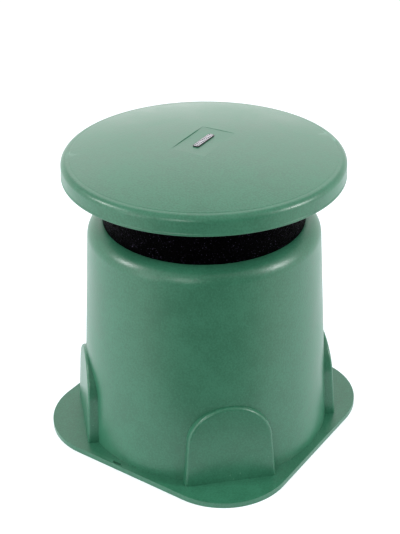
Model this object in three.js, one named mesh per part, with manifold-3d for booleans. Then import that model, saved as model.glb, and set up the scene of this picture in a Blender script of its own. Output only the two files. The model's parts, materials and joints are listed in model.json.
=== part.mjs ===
// An omnidirectional garden loudspeaker, taken apart into its separate pieces.
// Millimetres, +Z up. The origin is the middle of the foot flange's underside,
// and the sound comes out all round between the body's deck and the cap above it.

import * as THREE from 'three';
import { mergeVertices } from 'three/addons/utils/BufferGeometryUtils.js';
import Module from 'manifold-3d';

const wasm = await Module();
wasm.setup();

// ---------------------------------------------------------------- driving dimensions

const REST = 0.1; // air between two faces that rest on each other
const SCREW_ROOM = 0.3; // radial air between a screw or tube and its hole
const WALL = 4; // moulded wall of the body and of the cap
const WELD = 1e-4; // vertices closer than this are one vertex

const FACETS_LARGE = 40; // facets round the body and the cap
const FACETS_RING = 28; // facets round the foam, its cage and the gaskets
const FACETS_DRIVER = 24; // facets round the driver's pieces
const FACETS_COIL = 20; // facets round the voice coil and its magnet gap
const FACETS_SMALL = 10; // facets round spindles, pillars and glands
const FACETS_SCREW = 8; // facets round a screw

// foot flange: a square with well rounded corners
const FLANGE_HALF = 172;
const FLANGE_CORNER = 89.5;
const FLANGE_THICK = 7.3;
const SLOT_X = -168;
const SLOT_Y = 21;
const SLOT_LONG = 13;
const SLOT_WIDE = 3.5;

// body: a tapered drum with a rounded shoulder and a flat deck
const FOOT_R = 162.2;
const SHOULDER_R = 144.6;
const SHOULDER_ROUND = 20;
const DECK_Z = 292.8;
const SHOULDER_Z = DECK_Z - SHOULDER_ROUND;
const DRIVER_HOLE_R = 91.5;
const LEDGE_Z = 44;
const LEDGE_R = 138;

// four arched pads on the body's diagonals
const PAD_FACE = 165.9;
const PAD_LEAN = 0.068;
const PAD_HALF_FOOT = 57.3;
const PAD_HALF_SPRING = 52.35;
const PAD_SPRING = 56.6;
const PAD_ARCH = 49.4;
const PAD_DEPTH = 24;

// cap: a shallow dish turned over
const CAP_RIM_R = 171.03;
const CAP_RIM_Z = 353.66;
const CAP_SIDE_R = 170;
const CAP_ROUND = 6;
const CAP_EDGE_Z = 376.8;
const CAP_TOP_Z = 392.5;
const POCKET_LONG = 76;
const POCKET_WIDE = 45;
const POCKET_FLOOR_Z = 390.8;
const POCKET_TURN = THREE.MathUtils.degToRad(4.8);
const BADGE_LONG = 40.5;
const BADGE_WIDE = 8;
const BADGE_THICK = 1.5;
const BADGE_CHAMFER = 1.6;

// the sound outlet between deck and cap
const PLATE_Z = 362;
const PLATE_THICK = 2.5;
const PLATE_R = 150;
const FOAM_R = 126.3;
const FOAM_THICK = 7.9;
const CAGE_THICK = 2.5;
const CAGE_BAND = 7;
const CAGE_WINDOW = 52;
const PILLAR_AT = 110.5;
const PILLAR_R = 4.6;
const M5_R = 2.5;
const CAP_SCREW_TOP = 376;
const CAP_BOSS_R = 7;
const CAP_BOSS_TOP = 383;

// driver, facing up through the deck
const FRAME_R = 102.5;
const FRAME_THICK = 1.6;
const FRAME_Z = 295;
const FRAME_SCREW_AT = 98.3;
const M4_R = 2;
const CONE_R = 77.5;
const ROLL_AT = 83.5;
const ROLL_R = 6.2;
const SKIN = 0.6;
const SPIDER_Z = 253;
const CUP_Z = 243;
const FORMER_R = 16;
const FORMER_LOW = 226;
const FORMER_TOP = 268;
const POLE_R = 15;
const MAGNET_R = 48;
const MAGNET_THICK = 17;
const PLATE_STEEL = 6;
const STEEL_R = 42;
const STRIP_Z = 246;

// bottom cover and what it carries
const COVER_R = 153;
const COVER_THICK = 4;
const GASKET_THICK = 2;
const COVER_TOP = LEDGE_Z - GASKET_THICK;
const COVER_LOW = COVER_TOP - COVER_THICK;
const COVER_SCREW_AT = 145;
const COVER_SCREWS = 6;
const BOSS_R = 5;
const STAND_TOP = 48;
const GLAND = new THREE.Vector2(85, -55);
const GLAND_THREAD_R = 10;
const SELECTOR = new THREE.Vector2(-62, -62);
const BUSH_R = 4.7;
const SPINDLE_R = 3;
const TRANSFORMER = new THREE.Vector2(0, 60);
const CORE = new THREE.Vector3(60, 30, 50);
const CORE_WINDOW = new THREE.Vector2(10, 30);
const CORE_LEG = 20;
const COIL_LONG = 50;
const STRAP = 1.5;
const STRAP_WIDE = 20;
const STRAP_FOOT = 14;
const BLOCK = new THREE.Vector2(78, 10);
const BLOCK_SIZE = new THREE.Vector3(20, 34, 17);
const LEAD_R = 1.1;
const TINSEL_R = 0.7;

// ---------------------------------------------------------------- helpers

const QUARTER = Math.PI / 2;

// Copies a geometry with shared vertices, no flat triangles and its faces turned outwards.
function closed(geometry) {
  const bare = geometry.clone();
  bare.deleteAttribute('normal');
  bare.deleteAttribute('uv');
  const merged = mergeVertices(bare, WELD);
  const index = merged.index.array;
  const point = merged.attributes.position;
  const a = new THREE.Vector3();
  const b = new THREE.Vector3();
  const c = new THREE.Vector3();
  const kept = [];
  let volume = 0;
  for (let i = 0; i < index.length; i += 3) {
    const [p, q, r] = [index[i], index[i + 1], index[i + 2]];
    if (p === q || q === r || r === p) continue;
    kept.push(p, q, r);
    a.fromBufferAttribute(point, p);
    b.fromBufferAttribute(point, q);
    c.fromBufferAttribute(point, r);
    volume += a.dot(b.cross(c));
  }
  merged.setIndex(volume < 0 ? kept.reverse() : kept);
  return merged;
}

function solid(geometry) {
  const mesh = closed(geometry);
  const vertProperties = new Float32Array(mesh.attributes.position.array);
  const triVerts = new Uint32Array(mesh.index.array);
  return new wasm.Manifold(new wasm.Mesh({ numProp: 3, vertProperties, triVerts }));
}

function geometryOf(manifold) {
  const mesh = manifold.getMesh();
  const geometry = new THREE.BufferGeometry();
  geometry.setAttribute('position', new THREE.BufferAttribute(mesh.vertProperties, 3));
  geometry.setIndex(new THREE.BufferAttribute(mesh.triVerts, 1));
  return geometry;
}

function joined(solids) {
  return solids.reduce((whole, piece) => whole.add(piece));
}

function cut(whole, tools) {
  return tools.reduce((left, tool) => left.subtract(tool), whole);
}

// Turns an outline of [radius, height] pairs about the Z axis.
function turned(outline, facets) {
  const points = outline.map(([r, z]) => new THREE.Vector2(r, z));
  return new THREE.LatheGeometry(points, facets).rotateX(QUARTER);
}

// Like turned, for an outline that closes on itself away from the axis.
function turnedLoop(outline, facets) {
  return turned([...outline, outline[0]], facets);
}

function ring(inner, outer, low, high, facets) {
  return turnedLoop([[inner, low], [outer, low], [outer, high], [inner, high]], facets);
}

function rod(radius, low, high, facets, x = 0, y = 0) {
  const geometry = new THREE.CylinderGeometry(radius, radius, high - low, facets);
  return geometry.rotateX(QUARTER).translate(x, y, (low + high) / 2);
}

function block(sx, sy, low, high, x = 0, y = 0) {
  return new THREE.BoxGeometry(sx, sy, high - low).translate(x, y, (low + high) / 2);
}

// Raises a flat outline drawn in X and Y between two heights; an arc in it has 2 x steps facets.
function raised(shape, low, high, steps = 4) {
  const options = { depth: high - low, bevelEnabled: false, curveSegments: steps };
  return new THREE.ExtrudeGeometry(shape, options).translate(0, 0, low);
}

// Points of an arc in an outline, its two ends included.
function arc(r, z, radius, from, to, steps) {
  const points = [];
  for (let i = 0; i <= steps; i += 1) {
    const angle = from + ((to - from) * i) / steps;
    points.push([r + radius * Math.cos(angle), z + radius * Math.sin(angle)]);
  }
  return points;
}

// Evenly spaced places round the axis.
function around(count, radius, start = 0) {
  const places = [];
  for (let i = 0; i < count; i += 1) {
    const angle = start + (i * 2 * Math.PI) / count;
    places.push(new THREE.Vector2(radius * Math.cos(angle), radius * Math.sin(angle)));
  }
  return places;
}

function holes(places, radius, low, high) {
  return places.map((at) => solid(rod(radius, low, high, FACETS_SCREW, at.x, at.y)));
}

function roundedSquare(half, corner) {
  const flat = half - corner;
  const shape = new THREE.Shape();
  shape.moveTo(flat, -half);
  shape.absarc(flat, -flat, corner, -QUARTER, 0);
  shape.absarc(flat, flat, corner, 0, QUARTER);
  shape.absarc(-flat, flat, corner, QUARTER, 2 * QUARTER);
  shape.absarc(-flat, -flat, corner, 2 * QUARTER, 3 * QUARTER);
  return shape;
}

function finish(color, roughness, metalness = 0) {
  return () => new THREE.MeshStandardMaterial({ color, roughness, metalness, flatShading: true });
}

const greenPlastic = finish(0x3f7a58, 0.45);
const blackPlastic = finish(0x1c1d1e, 0.5);
const foamBlack = finish(0x0b0b0c, 0.95);
const rubberBlack = finish(0x141414, 0.8);
const paperGrey = finish(0x25262a, 0.85);
const clothTan = finish(0xb08a4a, 0.9);
const platedSteel = finish(0xb9bcc0, 0.35, 1);
const paintedSteel = finish(0x17181a, 0.5, 0.3);
const ferrite = finish(0x34363a, 0.6);
const copper = finish(0xb4652f, 0.35, 1);
const brass = finish(0xc2a04c, 0.35, 1);
const silicon = finish(0x6a6d72, 0.5, 0.8);
const ceramic = finish(0xe6e2d8, 0.4);
const badgeSilver = finish(0xb9bbc2, 0.35, 0.7);
const redSleeve = finish(0x9c1f1c, 0.5);

const speaker = new THREE.Group();

function place(name, shape, material, at = new THREE.Vector2(0, 0), turn = 0) {
  const geometry = shape.isBufferGeometry ? closed(shape) : geometryOf(shape);
  geometry.computeVertexNormals();
  const mesh = new THREE.Mesh(geometry, material());
  mesh.name = name;
  mesh.position.set(at.x, at.y, 0);
  mesh.rotation.z = turn;
  speaker.add(mesh);
}

// ---------------------------------------------------------------- places shared by several pieces

const pillarPlaces = around(4, PILLAR_AT);
const frameScrewPlaces = around(4, FRAME_SCREW_AT, QUARTER / 2);
const coverScrewPlaces = around(COVER_SCREWS, COVER_SCREW_AT, QUARTER / 3);
const strapReach = CORE.x / 2 + STRAP + REST + STRAP_FOOT / 2;
const strapPlaces = [-strapReach, strapReach].map((x) => TRANSFORMER.clone().add({ x, y: 0 }));

function bodyRadius(z) {
  const share = (z - FLANGE_THICK) / (SHOULDER_Z - FLANGE_THICK);
  return THREE.MathUtils.lerp(FOOT_R, SHOULDER_R, share);
}

function capHeight(r) {
  const edge = CAP_SIDE_R - CAP_ROUND;
  return CAP_TOP_Z - (CAP_TOP_Z - CAP_EDGE_Z) * (r / edge) ** 2;
}

// ---------------------------------------------------------------- body

function bodyShell() {
  const centre = SHOULDER_R - SHOULDER_ROUND;
  const inside = (z) => [bodyRadius(z) - WALL, z];
  const outline = [
    [bodyRadius(0), 0],
    ...arc(centre, SHOULDER_Z, SHOULDER_ROUND, 0, QUARTER, 5),
    [DRIVER_HOLE_R, DECK_Z],
    [DRIVER_HOLE_R, DECK_Z - WALL],
    ...arc(centre, SHOULDER_Z, SHOULDER_ROUND - WALL, QUARTER, 0, 2),
    inside(LEDGE_Z + WALL),
    [LEDGE_R, LEDGE_Z + WALL],
    [LEDGE_R, LEDGE_Z],
    inside(LEDGE_Z),
    inside(0),
  ];
  return solid(turnedLoop(outline, FACETS_LARGE));
}

function footFlange() {
  return solid(raised(roundedSquare(FLANGE_HALF, FLANGE_CORNER), 0, FLANGE_THICK, 6));
}

function slotCutter() {
  const half = (SLOT_LONG - SLOT_WIDE) / 2;
  const shape = new THREE.Shape();
  shape.absarc(SLOT_X, SLOT_Y + half, SLOT_WIDE / 2, 0, Math.PI);
  shape.absarc(SLOT_X, SLOT_Y - half, SLOT_WIDE / 2, Math.PI, 2 * Math.PI);
  return solid(raised(shape, -1, FLANGE_THICK + 1, 3));
}

// One arched pad: drawn upright, sheared to its lean, then turned to its corner.
function archedPad(angle) {
  const shape = new THREE.Shape();
  shape.moveTo(-PAD_HALF_FOOT, -1);
  shape.lineTo(PAD_HALF_FOOT, -1);
  shape.lineTo(PAD_HALF_SPRING, PAD_SPRING);
  shape.absellipse(0, PAD_SPRING, PAD_HALF_SPRING, PAD_ARCH, 0, Math.PI);
  const geometry = raised(shape, -PAD_DEPTH, 0, 5);
  const lean = new THREE.Matrix4().makeShear(0, 0, 0, -PAD_LEAN, 0, 0);
  geometry.applyMatrix4(lean);
  geometry.rotateX(QUARTER).rotateZ(QUARTER);
  geometry.translate(PAD_FACE, 0, FLANGE_THICK);
  return solid(geometry.rotateZ(angle));
}

// The drum's inside out to the middle of its wall: what grows on the wall is cut back to it.
function bodyCore() {
  const into = WALL / 2;
  const outline = [
    [0, -10],
    [bodyRadius(-10) - into, -10],
    [bodyRadius(SHOULDER_Z) - into, SHOULDER_Z],
    [0, SHOULDER_Z],
  ];
  return solid(turned(outline, FACETS_LARGE));
}

function enclosureBody() {
  const core = bodyCore();
  const pads = around(4, 1, QUARTER / 2).map((at) => archedPad(Math.atan2(at.y, at.x)).subtract(core));
  const ledgeTop = LEDGE_Z + WALL;
  const coverBosses = coverScrewPlaces.map((at) => (
    solid(rod(BOSS_R, ledgeTop - 1, ledgeTop + 10, FACETS_SMALL, at.x, at.y))
  ));
  const deckLow = DECK_Z - WALL;
  const frameBosses = frameScrewPlaces.map((at) => (
    solid(rod(BOSS_R, deckLow - 8, deckLow + 1, FACETS_SMALL, at.x, at.y))
  ));
  const flange = footFlange().subtract(core);
  const whole = joined([bodyShell(), flange, ...pads, ...coverBosses, ...frameBosses]);
  return cut(whole, [
    slotCutter(),
    ...holes(coverScrewPlaces, M4_R + SCREW_ROOM, LEDGE_Z - 1, ledgeTop + 8),
    ...holes(frameScrewPlaces, M4_R + SCREW_ROOM, deckLow - 9, DECK_Z + 1),
    ...holes(pillarPlaces, M5_R + SCREW_ROOM, deckLow - 1, DECK_Z + 1),
  ]);
}

// ---------------------------------------------------------------- cap, badge and sound outlet

function topCap() {
  const steps = 4;
  const edge = CAP_SIDE_R - CAP_ROUND;
  const inner = edge - 1;
  const outline = [];
  for (let i = 0; i <= steps; i += 1) {
    const r = (inner * i) / steps;
    outline.push([r, capHeight(r) - WALL]);
  }
  outline.push([CAP_SIDE_R - WALL, CAP_EDGE_Z - WALL - CAP_ROUND]);
  outline.push([CAP_RIM_R - WALL, CAP_RIM_Z]);
  outline.push([CAP_RIM_R, CAP_RIM_Z]);
  outline.push(...arc(edge, CAP_EDGE_Z - CAP_ROUND, CAP_ROUND, 0, QUARTER, 3));
  for (let i = steps - 1; i >= 0; i -= 1) {
    const r = (edge * i) / steps;
    outline.push([r, capHeight(r)]);
  }
  const shell = solid(turned(outline, FACETS_LARGE));
  const low = PLATE_Z + PLATE_THICK + REST;
  const bosses = pillarPlaces.map((at) => (
    solid(rod(CAP_BOSS_R, low, CAP_BOSS_TOP, FACETS_SMALL, at.x, at.y))
  ));
  const pocket = block(POCKET_LONG, POCKET_WIDE, POCKET_FLOOR_Z, CAP_TOP_Z + 5).rotateZ(POCKET_TURN);
  const screwHoles = holes(pillarPlaces, M5_R + SCREW_ROOM, low - 1, CAP_SCREW_TOP + 1);
  return cut(joined([shell, ...bosses]), [solid(pocket), ...screwHoles]);
}

function badgePlate() {
  const long = BADGE_LONG / 2;
  const wide = BADGE_WIDE / 2;
  const shape = new THREE.Shape();
  shape.moveTo(-long, -wide + BADGE_CHAMFER);
  shape.lineTo(-long + BADGE_CHAMFER, -wide);
  shape.lineTo(long - BADGE_CHAMFER, -wide);
  shape.lineTo(long, -wide + BADGE_CHAMFER);
  shape.lineTo(long, wide - BADGE_CHAMFER);
  shape.lineTo(long - BADGE_CHAMFER, wide);
  shape.lineTo(-long + BADGE_CHAMFER, wide);
  shape.lineTo(-long, wide - BADGE_CHAMFER);
  const low = POCKET_FLOOR_Z + REST;
  return raised(shape, low, low + BADGE_THICK);
}

// A round plate whose middle is drawn down into a flared cone over the driver.
function reflectorPlate() {
  const top = PLATE_Z + PLATE_THICK;
  const outline = [
    [0, 314],
    [14, 322],
    [32, 338],
    [58, 352],
    [98, PLATE_Z],
    [PLATE_R, PLATE_Z],
    [PLATE_R, top],
    [97, top],
    [56, 355],
    [30, 341],
    [12, 325],
    [0, 317.5],
  ];
  const screwHoles = holes(pillarPlaces, M5_R + SCREW_ROOM, PLATE_Z - 1, top + 1);
  return cut(solid(turned(outline, FACETS_DRIVER)), screwHoles);
}

function foamRing() {
  return ring(FOAM_R - FOAM_THICK, FOAM_R, DECK_Z + REST, PLATE_Z - REST, FACETS_RING);
}

function foamCage() {
  const outer = FOAM_R - FOAM_THICK - SCREW_ROOM;
  const low = DECK_Z + REST;
  const high = PLATE_Z - REST;
  const tube = solid(ring(outer - CAGE_THICK, outer, low, high, FACETS_RING));
  const windows = around(6, 1).map((at) => {
    const bar = block(2 * FOAM_R, CAGE_WINDOW, low + CAGE_BAND, high - CAGE_BAND);
    return solid(bar.rotateZ(Math.atan2(at.y, at.x) / 2));
  });
  return cut(tube, windows);
}

function capPillar() {
  return ring(M5_R + SCREW_ROOM, PILLAR_R, DECK_Z + REST, PLATE_Z - REST, FACETS_SMALL);
}

// A screw standing on its axis: the shank ends at one height, the head lies past the other.
function screw(radius, headRadius, tip, seat, headEnd) {
  const shank = [[0, tip], [radius, tip], [radius, seat]];
  const head = [[headRadius, seat], [headRadius, headEnd], [0, headEnd]];
  return turned([...shank, ...head], FACETS_SCREW);
}

// ---------------------------------------------------------------- driver

function driverGasket() {
  const tube = ring(DRIVER_HOLE_R + 0.5, FRAME_R - 0.5, DECK_Z + REST, FRAME_Z - REST, FACETS_DRIVER);
  return cut(solid(tube), holes(frameScrewPlaces, M4_R + SCREW_ROOM, DECK_Z - 1, FRAME_Z + 1));
}

// A pressed frame: flange, sloping bowl, spider ledge and cup, with six windows in the bowl.
function driverBasket() {
  const top = FRAME_Z + FRAME_THICK;
  const cupLow = CUP_Z - FRAME_THICK;
  const ledgeLow = SPIDER_Z - FRAME_THICK;
  const outline = [
    [FRAME_R, top],
    [89.5, top],
    [87.5, 292],
    [47, SPIDER_Z],
    [41, SPIDER_Z],
    [41, CUP_Z],
    [19, CUP_Z],
    [19, cupLow],
    [42.6, cupLow],
    [42.6, ledgeLow],
    [48.2, ledgeLow],
    [89.3, 291],
    [91, FRAME_Z],
    [FRAME_R, FRAME_Z],
  ];
  const shell = solid(turnedLoop(outline, FACETS_DRIVER));
  const half = THREE.MathUtils.degToRad(21);
  const windows = around(6, 1, QUARTER / 3).map((at) => {
    const angle = Math.atan2(at.y, at.x);
    const shape = new THREE.Shape();
    shape.absarc(0, 0, 95, angle - half, angle + half);
    shape.absarc(0, 0, 30, angle + half, angle - half, true);
    return solid(raised(shape, SPIDER_Z + 3, 287, 2));
  });
  const screwHoles = holes(frameScrewPlaces, M4_R + SCREW_ROOM, FRAME_Z - 1, top + 1);
  return cut(shell, [...windows, ...screwHoles]);
}

// A half-round roll between the frame's flange and the cone's edge.
function coneSurround() {
  const low = FRAME_Z + FRAME_THICK + REST;
  const high = low + SKIN;
  const outline = [
    [93.8, low],
    [93.8, high],
    ...arc(ROLL_AT, high, ROLL_R, 0, Math.PI, 4),
    [73.8, high],
    [73.8, low],
    ...arc(ROLL_AT, low, ROLL_R - SKIN, Math.PI, 0, 4),
  ];
  return turnedLoop(outline, FACETS_DRIVER);
}

function speakerCone() {
  const thick = 0.9;
  const neck = FORMER_R + 1;
  const edge = FRAME_Z + FRAME_THICK;
  const outline = [
    [neck, 262],
    [45, 276.5],
    [CONE_R, edge],
    [CONE_R, edge - thick],
    [45, 276.5 - thick],
    [neck, 262 - thick],
  ];
  return turnedLoop(outline, FACETS_DRIVER);
}

function whizzerCone() {
  const outline = [[17.2, 265], [19.5, 274], [36, 288], [36.6, 287.4], [20.2, 273.5], [17.9, 265]];
  return turnedLoop(outline, FACETS_COIL);
}

function dustCap() {
  const low = FORMER_TOP + REST;
  const base = FORMER_R + 0.4;
  const rise = 5;
  const outline = [
    [0, low + rise - SKIN],
    [base * 0.4, low + rise * 0.92 - SKIN],
    [base * 0.75 - SKIN, low + rise * 0.6 - SKIN],
    [base - SKIN, low],
    [base, low],
    [base * 0.75, low + rise * 0.6],
    [base * 0.4, low + rise * 0.92],
    [0, low + rise],
  ];
  return turned(outline, FACETS_COIL);
}

// The paper former with its copper winding as one glued piece.
function voiceCoil() {
  const skin = 0.5;
  const wire = FORMER_R + 1.4;
  const outline = [
    [FORMER_R, FORMER_LOW],
    [FORMER_R + skin, FORMER_LOW],
    [FORMER_R + skin, 230],
    [wire, 230],
    [wire, 242],
    [FORMER_R + skin, 242],
    [FORMER_R + skin, FORMER_TOP],
    [FORMER_R, FORMER_TOP],
  ];
  return turnedLoop(outline, FACETS_COIL);
}

// A corrugated cloth ring that centres the voice coil.
function spider() {
  const low = SPIDER_Z + REST;
  const wave = [[46.5, 0], [40, 0], [34, 2.4], [28, -0.8], [22, 2.4], [FORMER_R + 1.2, 0.4]];
  const top = wave.map(([r, rise]) => [r, low + rise + SKIN]);
  const underside = wave.map(([r, rise]) => [r, low + rise]).reverse();
  return turnedLoop([...top, ...underside], FACETS_DRIVER);
}

function frontPlate() {
  const high = CUP_Z - FRAME_THICK - REST;
  return ring(18.2, STEEL_R, high - PLATE_STEEL, high, FACETS_COIL);
}

function magnetRing() {
  const high = CUP_Z - FRAME_THICK - PLATE_STEEL - 2 * REST;
  return ring(26, MAGNET_R, high - MAGNET_THICK, high, FACETS_DRIVER);
}

function polePlate() {
  const poleTop = CUP_Z - FRAME_THICK - REST;
  const high = poleTop - PLATE_STEEL - MAGNET_THICK - 2 * REST;
  const outline = [
    [0, high - PLATE_STEEL],
    [STEEL_R, high - PLATE_STEEL],
    [STEEL_R, high],
    [POLE_R, high],
    [POLE_R, poleTop],
    [0, poleTop],
  ];
  return turned(outline, FACETS_COIL);
}

// The fibre strip on the cup's side with its two solder tags.
function terminalStrip() {
  const from = 42.6 + SCREW_ROOM;
  const board = block(22, 19, STRIP_Z, STRIP_Z + STRAP, 0, from + 19 / 2);
  const tags = [-7, 7].map((x) => solid(block(4, 6, STRIP_Z + 1, STRIP_Z + 7, x, 58)));
  return joined([solid(board), ...tags]);
}

// A round flexible lead along a smooth route.
function lead(route, radius, steps) {
  const curve = new THREE.CatmullRomCurve3(route.map(([x, y, z]) => new THREE.Vector3(x, y, z)));
  const section = new THREE.Shape();
  section.absarc(0, 0, radius, 0, 2 * Math.PI);
  const options = { extrudePath: curve, steps, curveSegments: 4, bevelEnabled: false };
  return new THREE.ExtrudeGeometry(section, options);
}

// ---------------------------------------------------------------- bottom cover and electrics

function bottomCover() {
  const disc = solid(rod(COVER_R, COVER_LOW, COVER_TOP, FACETS_LARGE));
  const rib = solid(ring(124, 127, COVER_LOW - 4, COVER_LOW + 1, FACETS_DRIVER));
  const standPlaces = [...strapPlaces, BLOCK];
  const stands = standPlaces.map((at) => (
    solid(rod(BOSS_R, COVER_TOP - 1, STAND_TOP, FACETS_SMALL, at.x, at.y))
  ));
  return cut(joined([disc, rib, ...stands]), [
    ...holes(coverScrewPlaces, M4_R + SCREW_ROOM, COVER_LOW - 1, COVER_TOP + 1),
    ...holes(standPlaces, M4_R + SCREW_ROOM, COVER_LOW + 2, STAND_TOP + 1),
    solid(rod(GLAND_THREAD_R + SCREW_ROOM, COVER_LOW - 1, COVER_TOP + 1, FACETS_SMALL, GLAND.x, GLAND.y)),
    solid(rod(BUSH_R + SCREW_ROOM, COVER_LOW - 1, COVER_TOP + 1, FACETS_SMALL, SELECTOR.x, SELECTOR.y)),
  ]);
}

function coverGasket() {
  const tube = ring(LEDGE_R + 1, COVER_R - 1, COVER_TOP + REST, LEDGE_Z - REST, FACETS_RING);
  return cut(solid(tube), holes(coverScrewPlaces, M4_R + SCREW_ROOM, COVER_LOW, LEDGE_Z + 1));
}

function glandBody() {
  const collarTop = COVER_LOW - REST;
  const outline = [
    [6, 50],
    [GLAND_THREAD_R, 50],
    [GLAND_THREAD_R, 32],
    [9, 31],
    [9, 20],
    [7.6, 20],
    [7.6, 31],
    [6, 32.5],
  ];
  const tube = solid(turnedLoop(outline, FACETS_SMALL));
  const collar = solid(rod(14.5, 31, collarTop, 6)).subtract(solid(rod(8, 30, 40, FACETS_SMALL)));
  return tube.add(collar);
}

function glandSeal() {
  return ring(3.5, 7.3, 20.5, 30.5, FACETS_SMALL);
}

function glandNut() {
  const outline = [[9.4, 30.7], [9.4, 19.7], [5, 16.5], [5, 14], [8.5, 14], [12, 18.5], [12.6, 30.7]];
  return turnedLoop(outline, FACETS_SMALL);
}

function glandLocknut() {
  const hex = solid(rod(15, COVER_TOP + REST, COVER_TOP + 5, 6));
  return hex.subtract(solid(rod(GLAND_THREAD_R + SCREW_ROOM, COVER_TOP - 1, COVER_TOP + 6, FACETS_SMALL)));
}

// The selector is a rotary switch hung from the cover by its threaded bush.
function selectorSwitch() {
  const bore = SPINDLE_R + SCREW_ROOM;
  const low = COVER_TOP + REST;
  const outline = [[bore, 31], [BUSH_R, 31], [BUSH_R, low], [14, low], [14, 56], [bore, 56]];
  return turnedLoop(outline, FACETS_SMALL);
}

function selectorNut() {
  const hex = solid(rod(7.5, COVER_LOW - REST - 3.2, COVER_LOW - REST, 6));
  return hex.subtract(solid(rod(BUSH_R + SCREW_ROOM, COVER_LOW - 5, COVER_LOW + 1, FACETS_SMALL)));
}

function selectorSpindle() {
  return rod(SPINDLE_R, 18, 54, FACETS_SMALL);
}

function selectorKnob() {
  const skirt = solid(rod(15, 25, 29.5, 2 * FACETS_SMALL));
  const grip = solid(block(8, 27, 13, 26));
  const bore = solid(rod(SPINDLE_R + REST, 17.5, 31, FACETS_SMALL));
  return joined([skirt, grip]).subtract(bore);
}

// A laminated core with two windows; the winding fills them round the middle leg.
function transformerCore() {
  const low = COVER_TOP + REST;
  const middle = low + CORE.z / 2;
  const offset = (CORE_LEG + CORE_WINDOW.x) / 2;
  const windows = [-offset, offset].map((x) => (
    solid(block(CORE_WINDOW.x, CORE.y + 2, middle - CORE_WINDOW.y / 2, middle + CORE_WINDOW.y / 2, x))
  ));
  return cut(solid(block(CORE.x, CORE.y, low, low + CORE.z)), windows);
}

function transformerCoil() {
  const middle = COVER_TOP + REST + CORE.z / 2;
  const half = CORE_WINDOW.y / 2 - SCREW_ROOM;
  const across = CORE_LEG + 2 * (CORE_WINDOW.x - SCREW_ROOM);
  const room = 2 * SCREW_ROOM;
  const outer = solid(block(across, COIL_LONG, middle - half, middle + half));
  const leg = solid(block(CORE_LEG + room, CORE.y + room, middle - half - 1, middle + half + 1));
  return outer.subtract(leg);
}

function transformerBracket() {
  const low = STAND_TOP + REST;
  const coreTop = COVER_TOP + REST + CORE.z + REST;
  const side = CORE.x / 2 + REST + STRAP / 2;
  const top = block(CORE.x + 2 * (REST + STRAP), STRAP_WIDE, coreTop, coreTop + STRAP);
  const sides = [-side, side].map((x) => solid(block(STRAP, STRAP_WIDE, low, coreTop + STRAP / 2, x)));
  const feet = [-strapReach, strapReach].map((x) => (
    solid(block(STRAP_FOOT + STRAP / 2, STRAP_WIDE, low, low + STRAP, x - Math.sign(x) * STRAP / 4))
  ));
  const screwPlaces = [-strapReach, strapReach].map((x) => new THREE.Vector2(x, 0));
  const screwHoles = holes(screwPlaces, M4_R + SCREW_ROOM, low - 1, low + STRAP + 1);
  return cut(joined([solid(top), ...sides, ...feet]), screwHoles);
}

// A two-pole block: a fixing hole in the middle, a screw well over each wire way.
const POLES = [-BLOCK_SIZE.y / 2 + 7, BLOCK_SIZE.y / 2 - 7];

function terminalBlock() {
  const low = STAND_TOP + REST;
  const high = low + BLOCK_SIZE.z;
  const body = solid(block(BLOCK_SIZE.x, BLOCK_SIZE.y, low, high));
  const wells = POLES.map((y) => solid(rod(3.3, low + 9, high + 1, FACETS_SMALL, 0, y)));
  const ways = POLES.map((y) => {
    const way = new THREE.CylinderGeometry(2, 2, BLOCK_SIZE.x + 2, FACETS_SCREW);
    return solid(way.rotateZ(QUARTER).translate(0, y, low + 5));
  });
  const fixing = holes([new THREE.Vector2(0, 0)], M4_R + SCREW_ROOM, low - 1, high + 1);
  return cut(body, [...wells, ...ways, ...fixing]);
}

// ---------------------------------------------------------------- assembly

place('enclosure_body', enclosureBody(), greenPlastic);
place('top_cap', topCap(), greenPlastic);
place('badge_plate', badgePlate(), badgeSilver, new THREE.Vector2(0, 0), POCKET_TURN);
place('reflector_plate', reflectorPlate(), blackPlastic);
place('foam_ring', foamRing(), foamBlack);
place('foam_cage', foamCage(), blackPlastic);

pillarPlaces.forEach((at, i) => {
  place(`cap_pillar_${i + 1}`, capPillar(), blackPlastic, at);
  const seat = DECK_Z - WALL - REST;
  place(`cap_screw_${i + 1}`, screw(M5_R, 4.5, CAP_SCREW_TOP, seat, seat - 4), platedSteel, at);
});

place('driver_gasket', driverGasket(), rubberBlack);
place('driver_basket', driverBasket(), paintedSteel);
place('cone_surround', coneSurround(), rubberBlack);
place('speaker_cone', speakerCone(), paperGrey);
place('whizzer_cone', whizzerCone(), paperGrey);
place('dust_cap', dustCap(), paperGrey);
place('voice_coil', voiceCoil(), copper);
place('spider', spider(), clothTan);
place('front_plate', frontPlate(), platedSteel);
place('magnet_ring', magnetRing(), ferrite);
place('pole_plate', polePlate(), platedSteel);
place('terminal_strip', terminalStrip(), brass);

frameScrewPlaces.forEach((at, i) => {
  const seat = FRAME_Z + FRAME_THICK + REST;
  place(`driver_screw_${i + 1}`, screw(M4_R, 3.9, seat - 15, seat, seat + 2.5), platedSteel, at);
});

[-7, 7].forEach((x, i) => {
  const tag = STRIP_Z + 7 + SCREW_ROOM;
  const route = [[x, 58, tag + TINSEL_R], [x, 56.5, 259], [x, 51, 266], [x, 44, 270.5], [x, 40.5, 272.4]];
  place(`tinsel_lead_${i + 1}`, lead(route, TINSEL_R, 6), copper);
});

[-7, 7].forEach((x, i) => {
  const route = [
    [x, 86.5, 66],
    [x, 93, 72],
    [x, 98, 90],
    [x, 100, 130],
    [x, 98, 180],
    [x, 90, 220],
    [x, 76, 242],
    [x, 64, 249.5],
    [x, 62, 250],
  ];
  place(`driver_lead_${i + 1}`, lead(route, LEAD_R, 16), i === 0 ? redSleeve : rubberBlack);
});

place('bottom_cover', bottomCover(), blackPlastic);
place('cover_gasket', coverGasket(), rubberBlack);

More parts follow.
